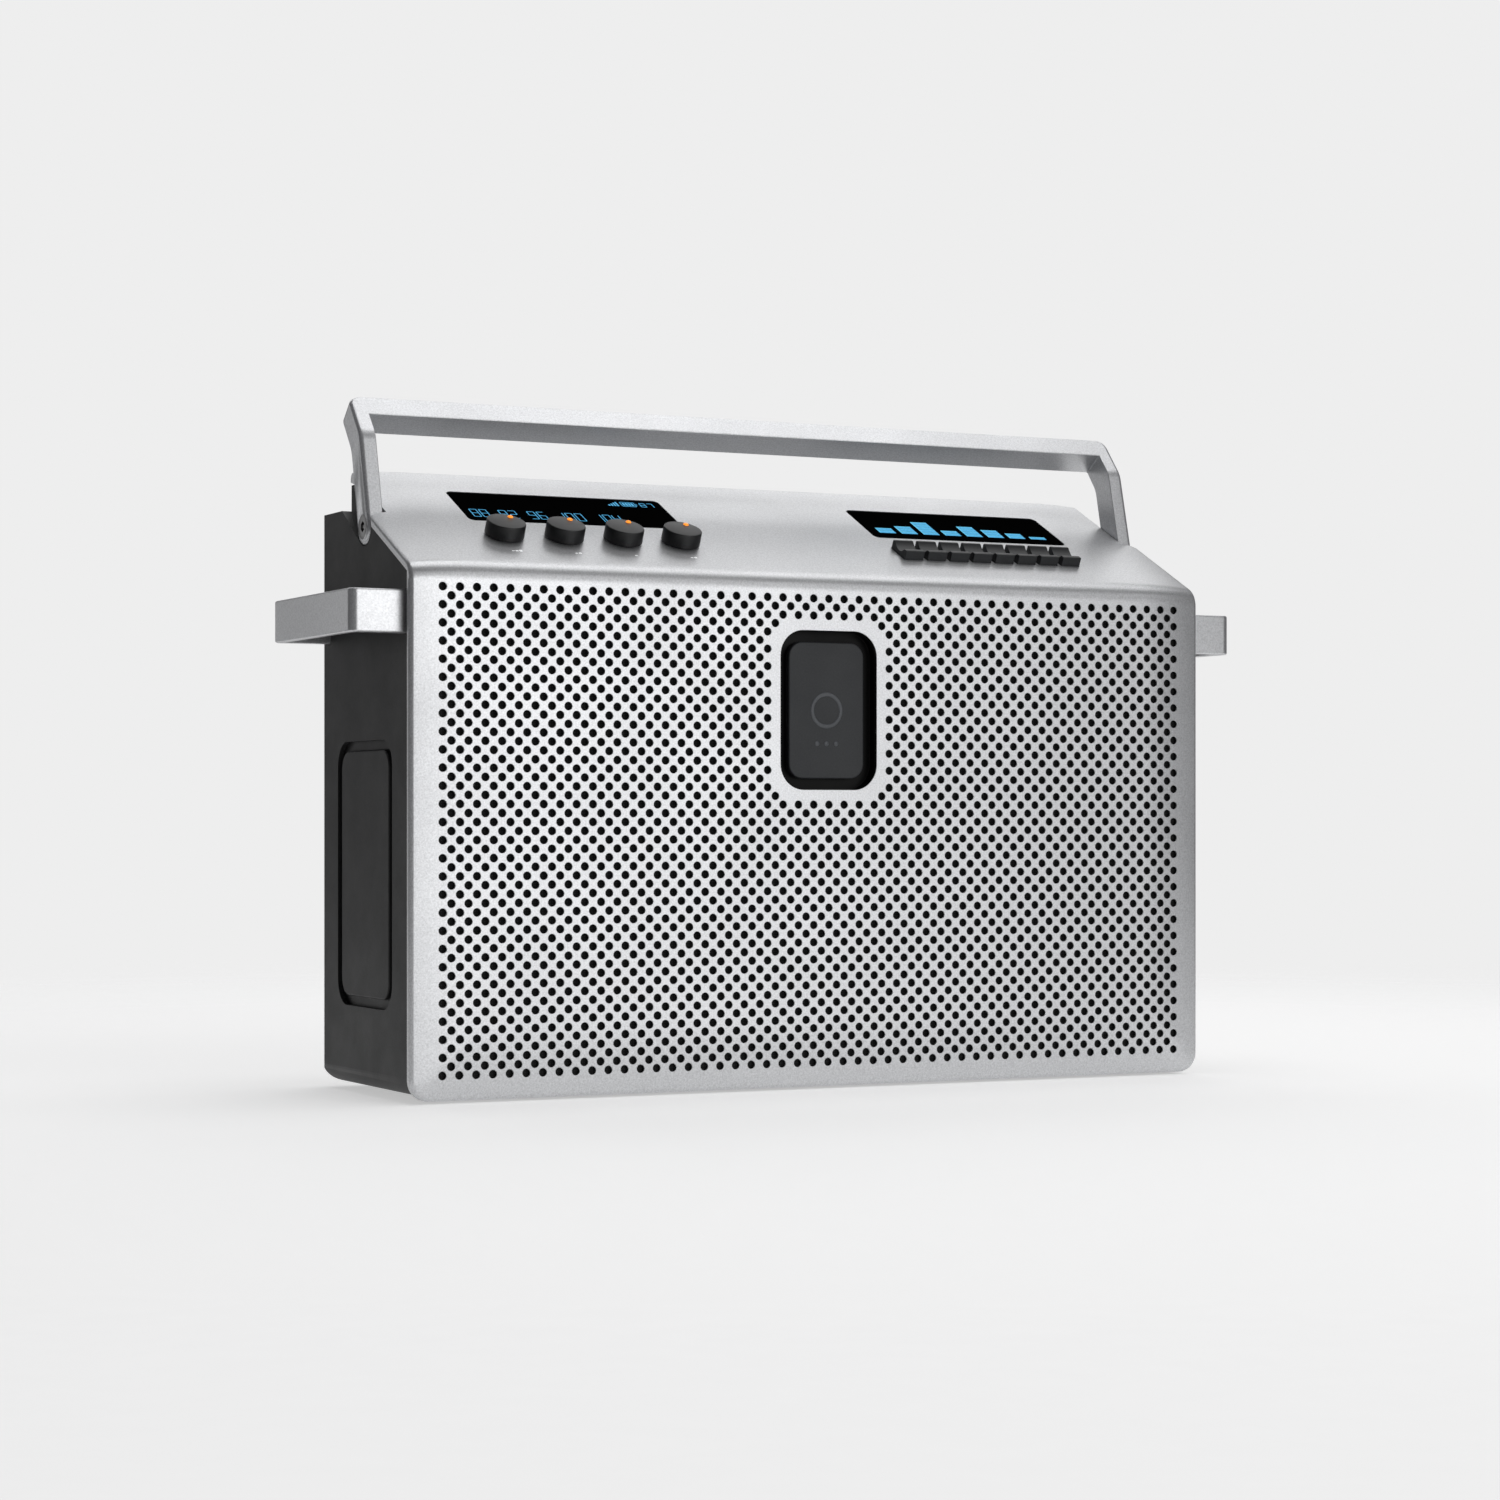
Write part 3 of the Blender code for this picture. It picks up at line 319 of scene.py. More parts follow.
class Nodes:
    """A small helper for building one material's node tree."""

    def __init__(self, name):
        self.material = bpy.data.materials.new(name)
        self.material.use_nodes = True
        self.tree = self.material.node_tree
        self.shader = self.tree.nodes["Principled BSDF"]
        self.coords = self.add("ShaderNodeTexCoord").outputs["Object"]

    def add(self, kind, **values):
        node = self.tree.nodes.new(kind)
        self.fill(node, values)
        return node

    def fill(self, node, values):
        for key, value in values.items():
            node.inputs[key.replace("_", " ")].default_value = value

    def link(self, source, target):
        self.tree.links.new(source, target)

    def math(self, operation, *values):
        """The result of a sum on two sockets or numbers."""
        node = self.add("ShaderNodeMath")
        node.operation = operation
        for value, target in zip(values, node.inputs):
            if isinstance(value, float):
                target.default_value = value
            else:
                self.link(value, target)
        return node.outputs["Value"]

    def noise(self, scale, detail=2.0, roughness=0.5):
        node = self.add("ShaderNodeTexNoise", Scale=scale, Detail=detail, Roughness=roughness)
        self.link(self.coords, node.inputs["Vector"])
        return node.outputs["Fac"]

    def ramp(self, source, stops, target="Base Color"):
        node = self.add("ShaderNodeValToRGB")
        elements = node.color_ramp.elements
        while len(elements) < len(stops):
            elements.new(0.5)
        for element, (position, colour) in zip(elements, stops):
            element.position = position
            element.color = (*colour, 1.0)
        self.link(source, node.inputs["Fac"])
        self.link(node.outputs["Color"], self.shader.inputs[target])

    def map(self, source, limits, low, high):
        """The source's span between the limits, stretched to run from low to high."""
        node = self.add("ShaderNodeMapRange", From_Min=limits[0], From_Max=limits[1],
                        To_Min=low, To_Max=high)
        self.link(source, node.inputs["Value"])
        return node

    def roughness(self, source, middle, spread):
        node = self.map(source, (0.25, 0.75), middle - spread, middle + spread)
        self.link(node.outputs["Result"], self.shader.inputs["Roughness"])

    def bump(self, sources, distance):
        """Bumps from (height, strength) pairs, one on the other."""
        normal = None
        for source, strength in sources:
            node = self.add("ShaderNodeBump", Strength=strength, Distance=distance)
            self.link(source, node.inputs["Height"])
            if normal:
                self.link(normal, node.inputs["Normal"])
            normal = node.outputs["Normal"]
        self.link(normal, self.shader.inputs["Normal"])

    def set(self, **values):
        self.fill(self.shader, values)


COOL = (0.99, 1.0, 1.02)  # a neutral grey, slightly blue
DARK_BLUE = (0.92, 1.0, 1.12)


def grey(value, tint=(1.0, 1.0, 1.0)):
    return tuple(value * t for t in tint)


def blasted_silver(name, low, high):
    """Bead-blasted silver: fine sparkle in the colour, and a grain too small to feel."""
    n = Nodes(name)
    grain = n.noise(1250, 3.0, 0.75)
    cloud = n.noise(18, 2.0, 0.5)
    n.ramp(grain, [(0.3, grey(low, COOL)), (0.7, grey(high, COOL))])
    n.roughness(cloud, 0.36, 0.03)
    n.bump([(n.noise(2600, 2.0, 0.6), 0.22), (n.noise(700, 2.0, 0.5), 0.08)], 0.00012)
    n.set(Metallic=0.80)
    return n.material


def grained_plastic(name, low, high, roughness, grain=1100, strength=0.35, tint=COOL, gloss=0.4):
    """Moulded plastic with a spark-eroded grain."""
    n = Nodes(name)
    n.ramp(n.noise(grain * 0.8, 3.0, 0.6), [(0.3, grey(low, tint)), (0.7, grey(high, tint))])
    n.roughness(n.noise(40, 3.0, 0.6), roughness, 0.05)
    n.bump([(n.noise(grain, 3.0, 0.6), strength), (n.noise(grain * 0.3), 0.1)], 0.0001)
    n.set(Specular_IOR_Level=gloss)
    return n.material


def polished_black(name):
    n = Nodes(name)
    n.ramp(n.noise(6), [(0.3, grey(0.0012)), (0.7, grey(0.002))])
    n.roughness(n.noise(30, 4.0, 0.6), 0.07, 0.02)
    n.set(Specular_IOR_Level=0.0)
    return n.material


def glowing(name, deep, bright):
    """A lit display element, its light a little uneven from pixel to pixel."""
    n = Nodes(name)
    n.ramp(n.noise(900), [(0.35, deep), (0.65, bright)], "Emission Color")
    n.set(Base_Color=(0.01, 0.03, 0.04, 1.0), Emission_Strength=1.0, Roughness=0.6,
          Specular_IOR_Level=0.05)
    return n.material


# Enamel colour and a painted glow: the emission makes the print and the pointer dot shine as if
# lit, though neither is a lamp.
def enamel_with_painted_glow(name, colour, roughness, glow):
    n = Nodes(name)
    n.ramp(n.noise(800), [(0.3, tuple(c * 0.88 for c in colour)), (0.7, colour)])
    n.roughness(n.noise(120), roughness, 0.04)
    n.bump([(n.noise(1500), 0.1)], 0.00005)
    n.set(Emission_Color=(*colour, 1.0), Emission_Strength=glow)
    return n.material


def woven_cloth(name):
    """Acoustic cloth: a fine plain weave of matt black thread."""
    n = Nodes(name)
    heights = []
    for direction in ("X", "Z"):
        wave = n.add("ShaderNodeTexWave", Scale=260.0, Distortion=0.4)
        wave.bands_direction = direction
        n.link(n.coords, wave.inputs["Vector"])
        heights.append(wave.outputs["Fac"])
    weave = n.math("MULTIPLY", *heights)
    n.ramp(weave, [(0.1, grey(0.003)), (0.8, grey(0.022, (0.95, 1, 1.05)))])
    n.bump([(weave, 0.6)], 0.0002)
    n.set(Roughness=0.8)
    return n.material


def turned_steel(name, value=0.42, roughness=0.3):
    """Steel with the rings that a lathe leaves round the piece's own axis."""
    n = Nodes(name)
    wave = n.add("ShaderNodeTexWave", Scale=900.0, Distortion=0.6, Detail=1.0)
    wave.wave_type = "RINGS"
    wave.rings_direction = "Z"
    n.link(n.coords, wave.inputs["Vector"])
    n.ramp(wave.outputs["Fac"], [(0.2, grey(value * 0.85)), (0.8, grey(value))])
    n.roughness(n.noise(200), roughness, 0.06)
    n.bump([(wave.outputs["Fac"], 0.15)], 0.00005)
    n.set(Metallic=1.0)
    return n.material


silver = blasted_silver("blasted_silver", 0.52, 0.75)
handle_silver = blasted_silver("handle_silver", 0.54, 0.78)
black = grained_plastic("grained_black", 0.014, 0.020, 0.50, gloss=0.28)
charcoal = grained_plastic("satin_charcoal", 0.036, 0.046, 0.50, 1600, 0.2)
knob_black = grained_plastic("knob_black", 0.004, 0.007, 0.42, 1900, 0.12, DARK_BLUE, 0.5)
key_black = grained_plastic("key_black", 0.012, 0.018, 0.40, 1900, 0.12, DARK_BLUE, 0.4)
tray_black = grained_plastic("tray_black", 0.001, 0.002, 0.40, 1500, 0.1, (1, 1, 1), 0.12)
badge_grey = grained_plastic("badge_grey", 0.027, 0.036, 0.52, 1500, 0.25, (0.93, 1, 1.1))
emblem_grey = grained_plastic("emblem_grey", 0.085, 0.105, 0.40, 1800, 0.1, (0.93, 1, 1.1))
glass = polished_black("display_glass")
cyan = glowing("display_cyan", (0.06, 0.36, 0.66), (0.10, 0.46, 0.78))
pale_cyan = glowing("display_pale_cyan", (0.12, 0.56, 0.82), (0.18, 0.68, 0.92))
# The pointer dot and the printed marks carry a painted glow from their emission.
orange = enamel_with_painted_glow("pointer_orange_painted_glow", (1.0, 0.30, 0.02), 0.3, 0.9)
white = enamel_with_painted_glow("print_white_painted_glow", (0.86, 0.87, 0.88), 0.4, 0.7)
cloth = woven_cloth("grille_cloth")
steel = turned_steel("turned_steel")
screw_steel = turned_steel("screw_steel", 0.30, 0.34)
rubber = grained_plastic("foot_rubber", 0.012, 0.018, 0.8, 900, 0.4)
ferrite = grained_plastic("ferrite_grey", 0.05, 0.075, 0.6, 700, 0.3)
cone_paper = grained_plastic("pressed_paper", 0.012, 0.028, 0.85, 500, 0.6)
pressed_steel = turned_steel("pressed_steel", 0.36, 0.42)
wrap_blue = grained_plastic("battery_wrap", 0.10, 0.14, 0.4, 200, 0.1, (0.3, 0.7, 1.8))
board_green = grained_plastic("circuit_green", 0.06, 0.10, 0.45, 400, 0.1, (0.3, 1.5, 0.6))
fibreboard = grained_plastic("fibreboard", 0.18, 0.30, 0.8, 260, 0.5, (1.2, 0.9, 0.6))


# ------ front shell


def pillow(edge):
    inside = max(0.0, PILLOW_WIDTH - edge) / PILLOW_WIDTH
    return PILLOW_DEPTH * inside * inside


def fillet(edge):
    rest = min(EDGE_FILLET, max(0.0, EDGE_FILLET - edge))
    return EDGE_FILLET - sqrt(EDGE_FILLET**2 - rest**2)


def outline_distance(x, z):
    across, above = LIP_HALF - abs(x), z - BOTTOM
    if across < CORNER_R and above < CORNER_R:
        return CORNER_R - hypot(CORNER_R - across, CORNER_R - above)
    return min(across, above)


def front_drop(x, z):
    """How far the front face falls back at x and z."""
    edge = outline_distance(x, z)
    return pillow(edge) + fillet(edge)


def outline_bottom(x, half=LIP_HALF, bottom=BOTTOM, radius=CORNER_R):
    rest = max(0.0, radius - (half - abs(x)))
    return bottom + radius - sqrt(max(0.0, radius**2 - rest**2))


def deck_z(y, depth=0.0):
    """Height of the deck's plane at y from the front, sunk by a depth square to it."""
    return EDGE_Z + y * tan(DECK_ANGLE) - depth / cos(DECK_ANGLE)


def deck_points(depth, rear_y, corner, support=0.0):
    """The bend and the deck in (y, z), sunk by a depth, up to a rear face and down it."""
    tangent = BEND_R * tan((pi / 2 - DECK_ANGLE) / 2)
    centre = (BEND_R, EDGE_Z - tangent)
    arc = []
    for step in range(BEND_STEPS + 1):
        angle = pi - (pi / 2 - DECK_ANGLE) * step / BEND_STEPS
        spoke = BEND_R - depth
        arc.append((centre[0] + spoke * cos(angle), centre[1] + spoke * sin(angle)))
    if support:
        along = Vector((cos(DECK_ANGLE), sin(DECK_ANGLE))) * support
        arc = [(arc[0][0], arc[0][1] - support)] + arc
        arc.append((arc[-1][0] + along.x, arc[-1][1] + along.y))
    top = (rear_y, deck_z(rear_y, depth))
    turned = rounded([arc[-1], top, (rear_y, top[1] - 20 * MM)], [0, corner, 0], 6)
    return arc + turned[1:-1]


def stations(half, edges, middle=()):
    right = [half - edge * MM for edge in edges] + [x * MM for x in middle]
    return [-x for x in right] + right[::-1]


def placed(x, points):
    return [(x, y, z) for y, z in points]


def shell_section(x):
    bottom = outline_bottom(x)
    drop = pillow(LIP_HALF - abs(x)) + fillet(LIP_HALF - abs(x))
    points = [(LIP_DEPTH, bottom)]
    for rise in EDGES:
        z = bottom + rise * MM
        points.append((front_drop(x, z), z))
    rear = COVER_REAR - FRONT_Y
    points += deck_points(drop, rear, 3 * MM, 0.5 * MM)
    points.append((rear, min(REAR_LIP_Z, points[-1][1] - 0.3 * MM)))
    points.append((rear - 6 * MM, deck_z(rear - 6 * MM, DECK_LIP)))
    points.append((LIP_DEPTH, deck_z(LIP_DEPTH, DECK_LIP)))
    return placed(x, points)


def cavity_section(x, rear_y):
    radius = CORNER_R - RIM_WALL
    bottom = outline_bottom(x, LIP_HALF - RIM_WALL, BOTTOM + RIM_WALL, radius)
    drop = pillow(LIP_HALF - abs(x)) + SHELL_WALL
    back = LIP_DEPTH + 6 * MM
    points = [(back, bottom)]
    for rise in (0.0, 2.0, 6.1, 16.1, 30.1):
        z = bottom + rise * MM
        points.append((pillow(outline_distance(x, z)) + SHELL_WALL, z))
    points += deck_points(drop, rear_y, 0.4 * MM)
    points.append((rear_y, deck_z(rear_y, DECK_LIP + 12 * MM)))
    points.append((back, deck_z(back, DECK_LIP + 12 * MM)))
    return placed(x, points)


def deck_cutter(outline, x, s):
    return prism_mesh(outline, "Z", -6 * MM, 4 * MM), deck_frame(x, s)


def window_gap(column, row):
    """Whether this place in the grid of holes is left out round the window."""
    ends = {3: (43, 53), 4: (42, 54), 22: (42, 54), 23: (43, 53)}
    first, last = ends.get(row, (41, 55) if row % 2 else (42, 54))
    return 3 <= row <= 23 and first <= column <= last


def hole_cutters():
    """One mesh of every hole in the grille, each with a small chamfer at its mouth."""
    bm = bmesh.new()
    for row in range(HOLE_ROWS):
        for column in range(row % 2, HOLE_COLUMNS, 2):
            if window_gap(column, row):
                continue
            x = (column - (HOLE_COLUMNS - 1) / 2) * HOLE_PITCH
            z = HOLE_TOP - row * HOLE_PITCH
            y = pillow(outline_distance(x, z))
            add_loft(bm, [
                [(a, y + depth * MM, b) for a, b in circle(x, z, radius * MM, HOLE_SIDES)]
                for depth, radius in HOLE_RINGS
            ])
    return bm


def node_on_deck(node):
    """(centre x, centre s, width, height) of a flat CAD node that lies along the deck."""
    points = [on_deck(v.co) for v in frame["nodes"][node].data.vertices]
    low = [min(p[i] for p in points) for i in range(3)]
    high = [max(p[i] for p in points) for i in range(3)]
    return (low[0] + high[0]) / 2, (low[1] + high[1]) / 2, high[0] - low[0], high[1] - low[1]


def smooth_face(shell):
    """Gives the perforated face the normals of its true curve, whatever the cuts made of it."""
    step, top = 0.1 * MM, EDGE_Z - BEND_R * tan((pi / 2 - DECK_ANGLE) / 2)
    mesh = shell.data
    true = {}
    for vertex in mesh.vertices:
        x, y, z = vertex.co
        if z < top + 0.05 * MM and abs(y - front_drop(x, z)) < TRUE_NORMAL_REACH:
            across = front_drop(x + step, z) - front_drop(x - step, z)
            up = front_drop(x, z + step) - front_drop(x, z - step)
            true[vertex.index] = Vector((across, -2 * step, up)).normalized()
    normals = [(0, 0, 0)] * len(mesh.loops)
    for polygon in mesh.polygons:
        for loop in polygon.loop_indices:
            normal = true.get(mesh.loops[loop].vertex_index)
            if normal and normal.dot(polygon.normal) > TRUE_NORMAL_SHARE:
                normals[loop] = normal
    mesh.normals_split_custom_set(normals)


def make_front_shell():
    sections = [shell_section(x) for x in stations(LIP_HALF, EDGES, (140, 90, 40))]
    shell = mesh_object("front_shell_detail", loft(sections), silver, FORWARD)
    wide = (0, 0.8, 1.8, 3.0, 4.8, 8, 16, 30)
    lower = [cavity_section(x, STEP_Y - RIM_WALL) for x in stations(LIP_HALF - RIM_WALL, wide)]
    rear = COVER_REAR - FRONT_Y - RIM_WALL
    narrow = stations(UPPER_HALF - RIM_WALL, (0, 3, 7, 14, 21))
    upper = [cavity_section(x, rear) for x in narrow]
    beyond, far = LIP_HALF + 5 * MM, rear + 10 * MM
    corner = (LIP_HALF - STEP_R, STEP_Y - STEP_R)
    step = [(beyond, corner[1]), (beyond, far), (UPPER_HALF, far), (UPPER_HALF, STEP_Y)]
    for i in range(13):
        angle = radians(90 - 7.5 * i)
        step.append((corner[0] + STEP_R * cos(angle), corner[1] + STEP_R * sin(angle)))
    cutters = [(loft(sections), FORWARD) for sections in (lower, upper)]
    for side in (-1, 1):
        outline = [(side * x, y) for x, y in step]
        cutters.append(forward(outline, "Z", 200 * MM, 320 * MM))
    cutters.append(forward(window_outline(0, 12), "Y", -5 * MM, 10 * MM))
    openings = [("display_lens_" + side, 0.5 * MM, 3.2 * MM) for side in ("left", "right")]
    openings += [(f"key_{i}", 0.6 * MM, 0.5 * MM) for i in range(1, 9)]
    for node, room, radius in openings:
        x, s, width, height = node_on_deck(node)
        cutters.append(deck_cutter(rounded_rect(0, 0, width + room, height + room, radius), x, s))
    for place in KNOBS:
        x, s, _ = on_deck(place)
        cutters.append(deck_cutter(circle(0, 0, 3.6 * MM, 24), x, s))
    cut(shell, cutters)
    bevel(shell, 0.35 * MM, 2, 40)
    cut(shell, [(hole_cutters(), FORWARD)])
    settle(shell, 32)
    smooth_face(shell)
    piece(shell, "case", ["front_shell"])


def make_cloth():
    """The cloth hangs just behind the perforated face."""
    top, bottom = HOLE_TOP + 6 * MM, BOTTOM + 6 * MM
    outline = rounded_rect(0, (top + bottom) / 2, 396 * MM, top - bottom, 6 * MM)
    start = SHELL_WALL + 2.6 * MM
    sheet = extruded("cloth_panel", outline, "Y", start, start + 0.5 * MM, cloth)
    cut(sheet, [forward(window_outline(3 * MM), "Y", start - 5 * MM, start + 5 * MM)])
    piece(sheet, "case", ["acoustic_cloth"])


def window_outline(grow, steps=8):
    low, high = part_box("window_tray")
    width, height = high.x - low.x - 4 * MM + 2 * grow, high.z - low.z - 4 * MM + 2 * grow
    return rounded_rect(0, (low.z + high.z) / 2, width, height, 12 * MM + grow, steps)


def make_window():
    """A deep black tray, and in it a raised satin plate with a plain ring and dots."""
    low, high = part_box("window_tray")
    start, back = low.y - FRONT_Y, high.y - FRONT_Y
    tray = extruded("window_tray_detail", window_outline(2 * MM, 12), "Y", start, back, tray_black)
    cut(tray, [forward(window_outline(0.1 * MM, 12), "Y", -5 * MM, back - 1.3 * MM)])
    bevel(tray, 0.5 * MM, 3, 40)
    piece(tray, "case", ["window_tray"])

    low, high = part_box("badge_plate")
    middle = (low.z + high.z) / 2
    width, height = high.x - low.x, high.z - low.z
    outline = rounded_rect(0, middle, width, height, 7 * MM, 12)
    face = low.y - FRONT_Y
    plate = extruded("badge_detail", outline, "Y", face, high.y - FRONT_Y, badge_grey)
    bevel(plate, 0.7 * MM, 4, 40)
    piece(plate, "case", ["badge_plate"])
    make_emblem(middle, face)


def make_emblem(middle, face):
    """A plain ring with three dots below it."""
    ring = [(6.6, 0.0), (6.9, 0.25), (8.1, 0.25), (8.4, 0.0), (8.4, -0.3), (6.6, -0.3)]
    dome = [(0, 0.25), (0.7, 0.22), (1.1, 0.1), (1.2, 0.0), (1.2, -0.3), (0, -0.3)]
    shapes = [("emblem_ring", ring, 48, 0, 0, 30)]
    shapes += [(f"emblem_dot_{i + 1}", dome, 24, x, -15.5, 50) for i, x in enumerate((0, -5, 5))]
    for name, profile, segments, x, z, angle in shapes:
        place = facing((x * MM, FRONT_Y + face, middle + z * MM), (0, -1, 0))
        turned(name, profile, segments, emblem_grey, place, angle, "case", "charcoal_plastic")


# ------ rear housing

HOUSING_SKIN = 4.6 * MM
HOUSING_BOTTOM = house_low.z
LEDGE_Z = 269.2 * MM
HEAD_REAR_Y = 109.0 * MM
POCKET_FLOOR = 195.9 * MM
POCKET_R = 8.8 * MM
ARM_OUTER = arm_high.x
ARM_INNER = arm_low.x
ARM_FRONT_KINK = (3.6 * MM, 43.4 * MM)
ARM_FRONT_TOP = (19.6 * MM, 62.0 * MM)
ARM_REAR_TOP = (29.9 * MM, 52.9 * MM)
ARM_REAR_KINK = (16.1 * MM, 35.6 * MM)
ARM_END_R = 7.2 * MM
KINK_R = 14.0 * MM
HANDLE_BACK = radians(44)
PAD_PLACE = (middle_of("side_pad_left")[1] - FRONT_Y, middle_of("side_pad_left")[2])
PAD_RECESS = (72.5 * MM, 121.8 * MM, 12 * MM)  # width, height and corner radius
PAD_MARGIN = 18.2 * MM


def turned_back(point, angle):
    """A point of the handle's plane, measured from the pivot, swung towards the rear."""
    y, z = point
    return (y * cos(angle) + z * sin(angle), z * cos(angle) - y * sin(angle))


def arm_end(centre, radius, front, rear, steps=20):
    """The round end of the arm, from where its front edge leaves it to where its rear one does."""
    ends = []
    for point, side in ((front, 1), (rear, -1)):
        reach = (point[0] - centre[0], point[1] - centre[1])
        spread = acos(radius / hypot(*reach))
        ends.append(atan2(reach[1], reach[0]) + side * spread)
    sweep = ends[1] + 2 * pi - ends[0]
    turns = [ends[0] + sweep * i / steps for i in range(steps + 1)]
    return [(centre[0] + radius * cos(turn), centre[1] + radius * sin(turn)) for turn in turns]


def pocket_outline():
    """The notch the arm swings in, with its slope where the arm lies when it is folded."""
    room = 0.6 * MM
    front = (ARM_FRONT_KINK[0] - room, ARM_FRONT_KINK[1])
    rear = turned_back((ARM_REAR_KINK[0] + room, ARM_REAR_KINK[1] - room), HANDLE_BACK)
    end = arm_end((0, 0), POCKET_R, front, rear)
    slope = (rear[0] - end[-1][0], rear[1] - end[-1][1])
    far = (end[-1][0] + 2 * slope[0], end[-1][1] + 2 * slope[1])
    above = ARM_FRONT_TOP[1]
    ahead = STEP_Y - 2.1 * MM
    shelf = deck_z(ahead, DECK_LIP + 0.3 * MM) - PIVOT.z
    ahead -= PIVOT_Y
    outline = [(ahead, above), (ahead, shelf)] + end[1:] + [far, (far[0], above)]
    return [(PIVOT_Y + y, PIVOT.z + z) for y, z in outline]


def housing_profile():
    front = deck_points(HOUSING_SKIN, REAR, 0)[:BEND_STEPS + 1]  # the bend alone
    meet = (LEDGE_Z - EDGE_Z + HOUSING_SKIN / cos(DECK_ANGLE)) / tan(DECK_ANGLE)
    points = [(HOUSING_SKIN, HOUSING_BOTTOM)] + front
    points += [(meet, LEDGE_Z), (REAR, LEDGE_Z), (REAR, HOUSING_BOTTOM)]
    return rounded(points, [0] * (len(points) - 2) + [2.75 * MM, 11 * MM], 12)


def head_profile():
    upper = deck_points(HOUSING_SKIN, HEAD_REAR_Y, 0)[:BEND_STEPS + 1]
    under_lip = REAR_LIP_Z - 0.9 * MM
    tuck = COVER_REAR - FRONT_Y - 2.0 * MM
    upper += [(tuck, deck_z(tuck, HOUSING_SKIN)), (tuck, under_lip), (HEAD_REAR_Y, under_lip)]
    return upper + [(HEAD_REAR_Y, EDGE_Z), (HOUSING_SKIN, 208 * MM)]


def make_housing():
    housing = extruded("rear_housing_detail", housing_profile(), "X", -SIDE_HALF, SIDE_HALF, black)
    tall = 248 * MM
    front_view = rounded_rect(0, HOUSING_BOTTOM + tall, 2 * SIDE_HALF, 2 * tall, 8.3 * MM, 12)
    cut(housing, [forward(front_view, "Y", -5 * MM, REAR + 5 * MM)], "INTERSECT")
    plan = rounded_rect(0, REAR - tall / 2, 2 * SIDE_HALF, tall, 3 * MM, 8)
    cut(housing, [forward(plan, "Z", -5 * MM, 2 * tall)], "INTERSECT")
    cut(housing, [forward(head_profile(), "X", -POCKET_FLOOR, POCKET_FLOOR)], "UNION")
    beyond = SIDE_HALF + 5 * MM
    cutters = [forward(pocket_outline(), "X", side * POCKET_FLOOR, side * beyond)
               for side in (-1, 1)]
    wall = 2.5 * MM
    floor, back, top = HOUSING_BOTTOM + wall, REAR - wall, 246 * MM
    room = rounded([(-5 * MM, floor), (back, floor), (back, top), (-5 * MM, top)],
                   [0, 9 * MM, 0, 0], 8)
    inner = SIDE_HALF - wall
    cutters.append(forward(room, "X", -inner, inner))
    low, ceiling, above = top - 5 * MM, LEDGE_Z - wall, 320 * MM
    near = HEAD_REAR_Y - 2 * wall
    head = [(-5 * MM, low), (back, low), (back, ceiling), (near, ceiling), (near, above)]
    head.append((-5 * MM, above))
    inner = POCKET_FLOOR - wall
    cutters.append(forward(head, "X", -inner, inner))
    cut(housing, cutters)
    bosses, openings = [], []
    for name, side in SIDES:
        boss = circle(PIVOT_Y, PIVOT.z, 4.9 * MM, 40)
        root = side * (POCKET_FLOOR - 9 * MM)
        bosses.append(forward(boss, "X", root, side * (ARM_INNER - 0.3 * MM)))
        bore = circle(PIVOT_Y, PIVOT.z, 3.1 * MM, 32)
        openings.append(forward(bore, "X", root - side * MM, side * 215 * MM))
        start, end = side * (SIDE_HALF - 10 * MM), side * beyond
        pad = rounded_rect(*PAD_PLACE, *PAD_RECESS, 12)
        openings.append(forward(pad, "X", start, end))
        low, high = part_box("strap_loop_" + name)
        middle, height = (low.z + high.z) / 2, high.z - low.z + 0.6 * MM
        for y in (low.y, high.y - 4.5 * MM):
            slot = rounded_rect(y + 2.25 * MM - FRONT_Y, middle, 5.1 * MM, height, 0.5 * MM, 3)
            openings.append(forward(slot, "X", start, end))
    cut(housing, bosses, "UNION")
    cut(housing, openings)
    bevel(housing, 0.55 * MM, 3, 40)
    openings = [(rear_grooves(), FORWARD)]
    low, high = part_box("connector_plate")
    plate = rounded_rect(0, (low.z + high.z) / 2, high.x - low.x + 0.6 * MM,
                         high.z - low.z + 0.6 * MM, 4.3 * MM, 8)
    openings.append(forward(plate, "Y", REAR - 20 * MM, REAR + 5 * MM))
    for i in range(1, 5):
        x, _, z = middle_of(f"case_screw_{i}")
        for radius, depth in ((1.9 * MM, 10 * MM), (3.5 * MM, 1.3 * MM)):
            openings.append(forward(circle(x, z, radius, 32), "Y", REAR - depth, REAR + 5 * MM))
    cut(housing, openings)
    settle(housing, 50)
    even_normals(housing)
    piece(housing, "case", ["rear_housing"])


def rear_grooves():
    """The outline of the battery door and a field of vent slots, to cut into the rear wall."""
    bm = bmesh.new()
    start, end = REAR - 0.9 * MM, REAR + 2 * MM
    middle, height = 176 * MM, 74 * MM
    outer = rounded_rect(0, middle, 190 * MM, height, 6 * MM, 8)
    inner = rounded_rect(0, middle, 188.6 * MM, height - 1.4 * MM, 5.3 * MM, 8)
    rings = [[bm.verts.new((x, y, z)) for x, z in outline]
             for outline, y in ((outer, start), (outer, end), (inner, end), (inner, start))]
    for low, high in zip(rings, rings[1:] + rings[:1]):
        skin(bm, low, high)
    for side in (-1, 1):
        for row in range(12):
            z = middle - 33 * MM + row * 6 * MM
            slot = rounded_rect(side * 140 * MM, z, 52 * MM, 1.8 * MM, 0.88 * MM, 4)
            add_loft(bm, [[(x, y, z) for x, z in slot] for y in (start, end)])
    return bm


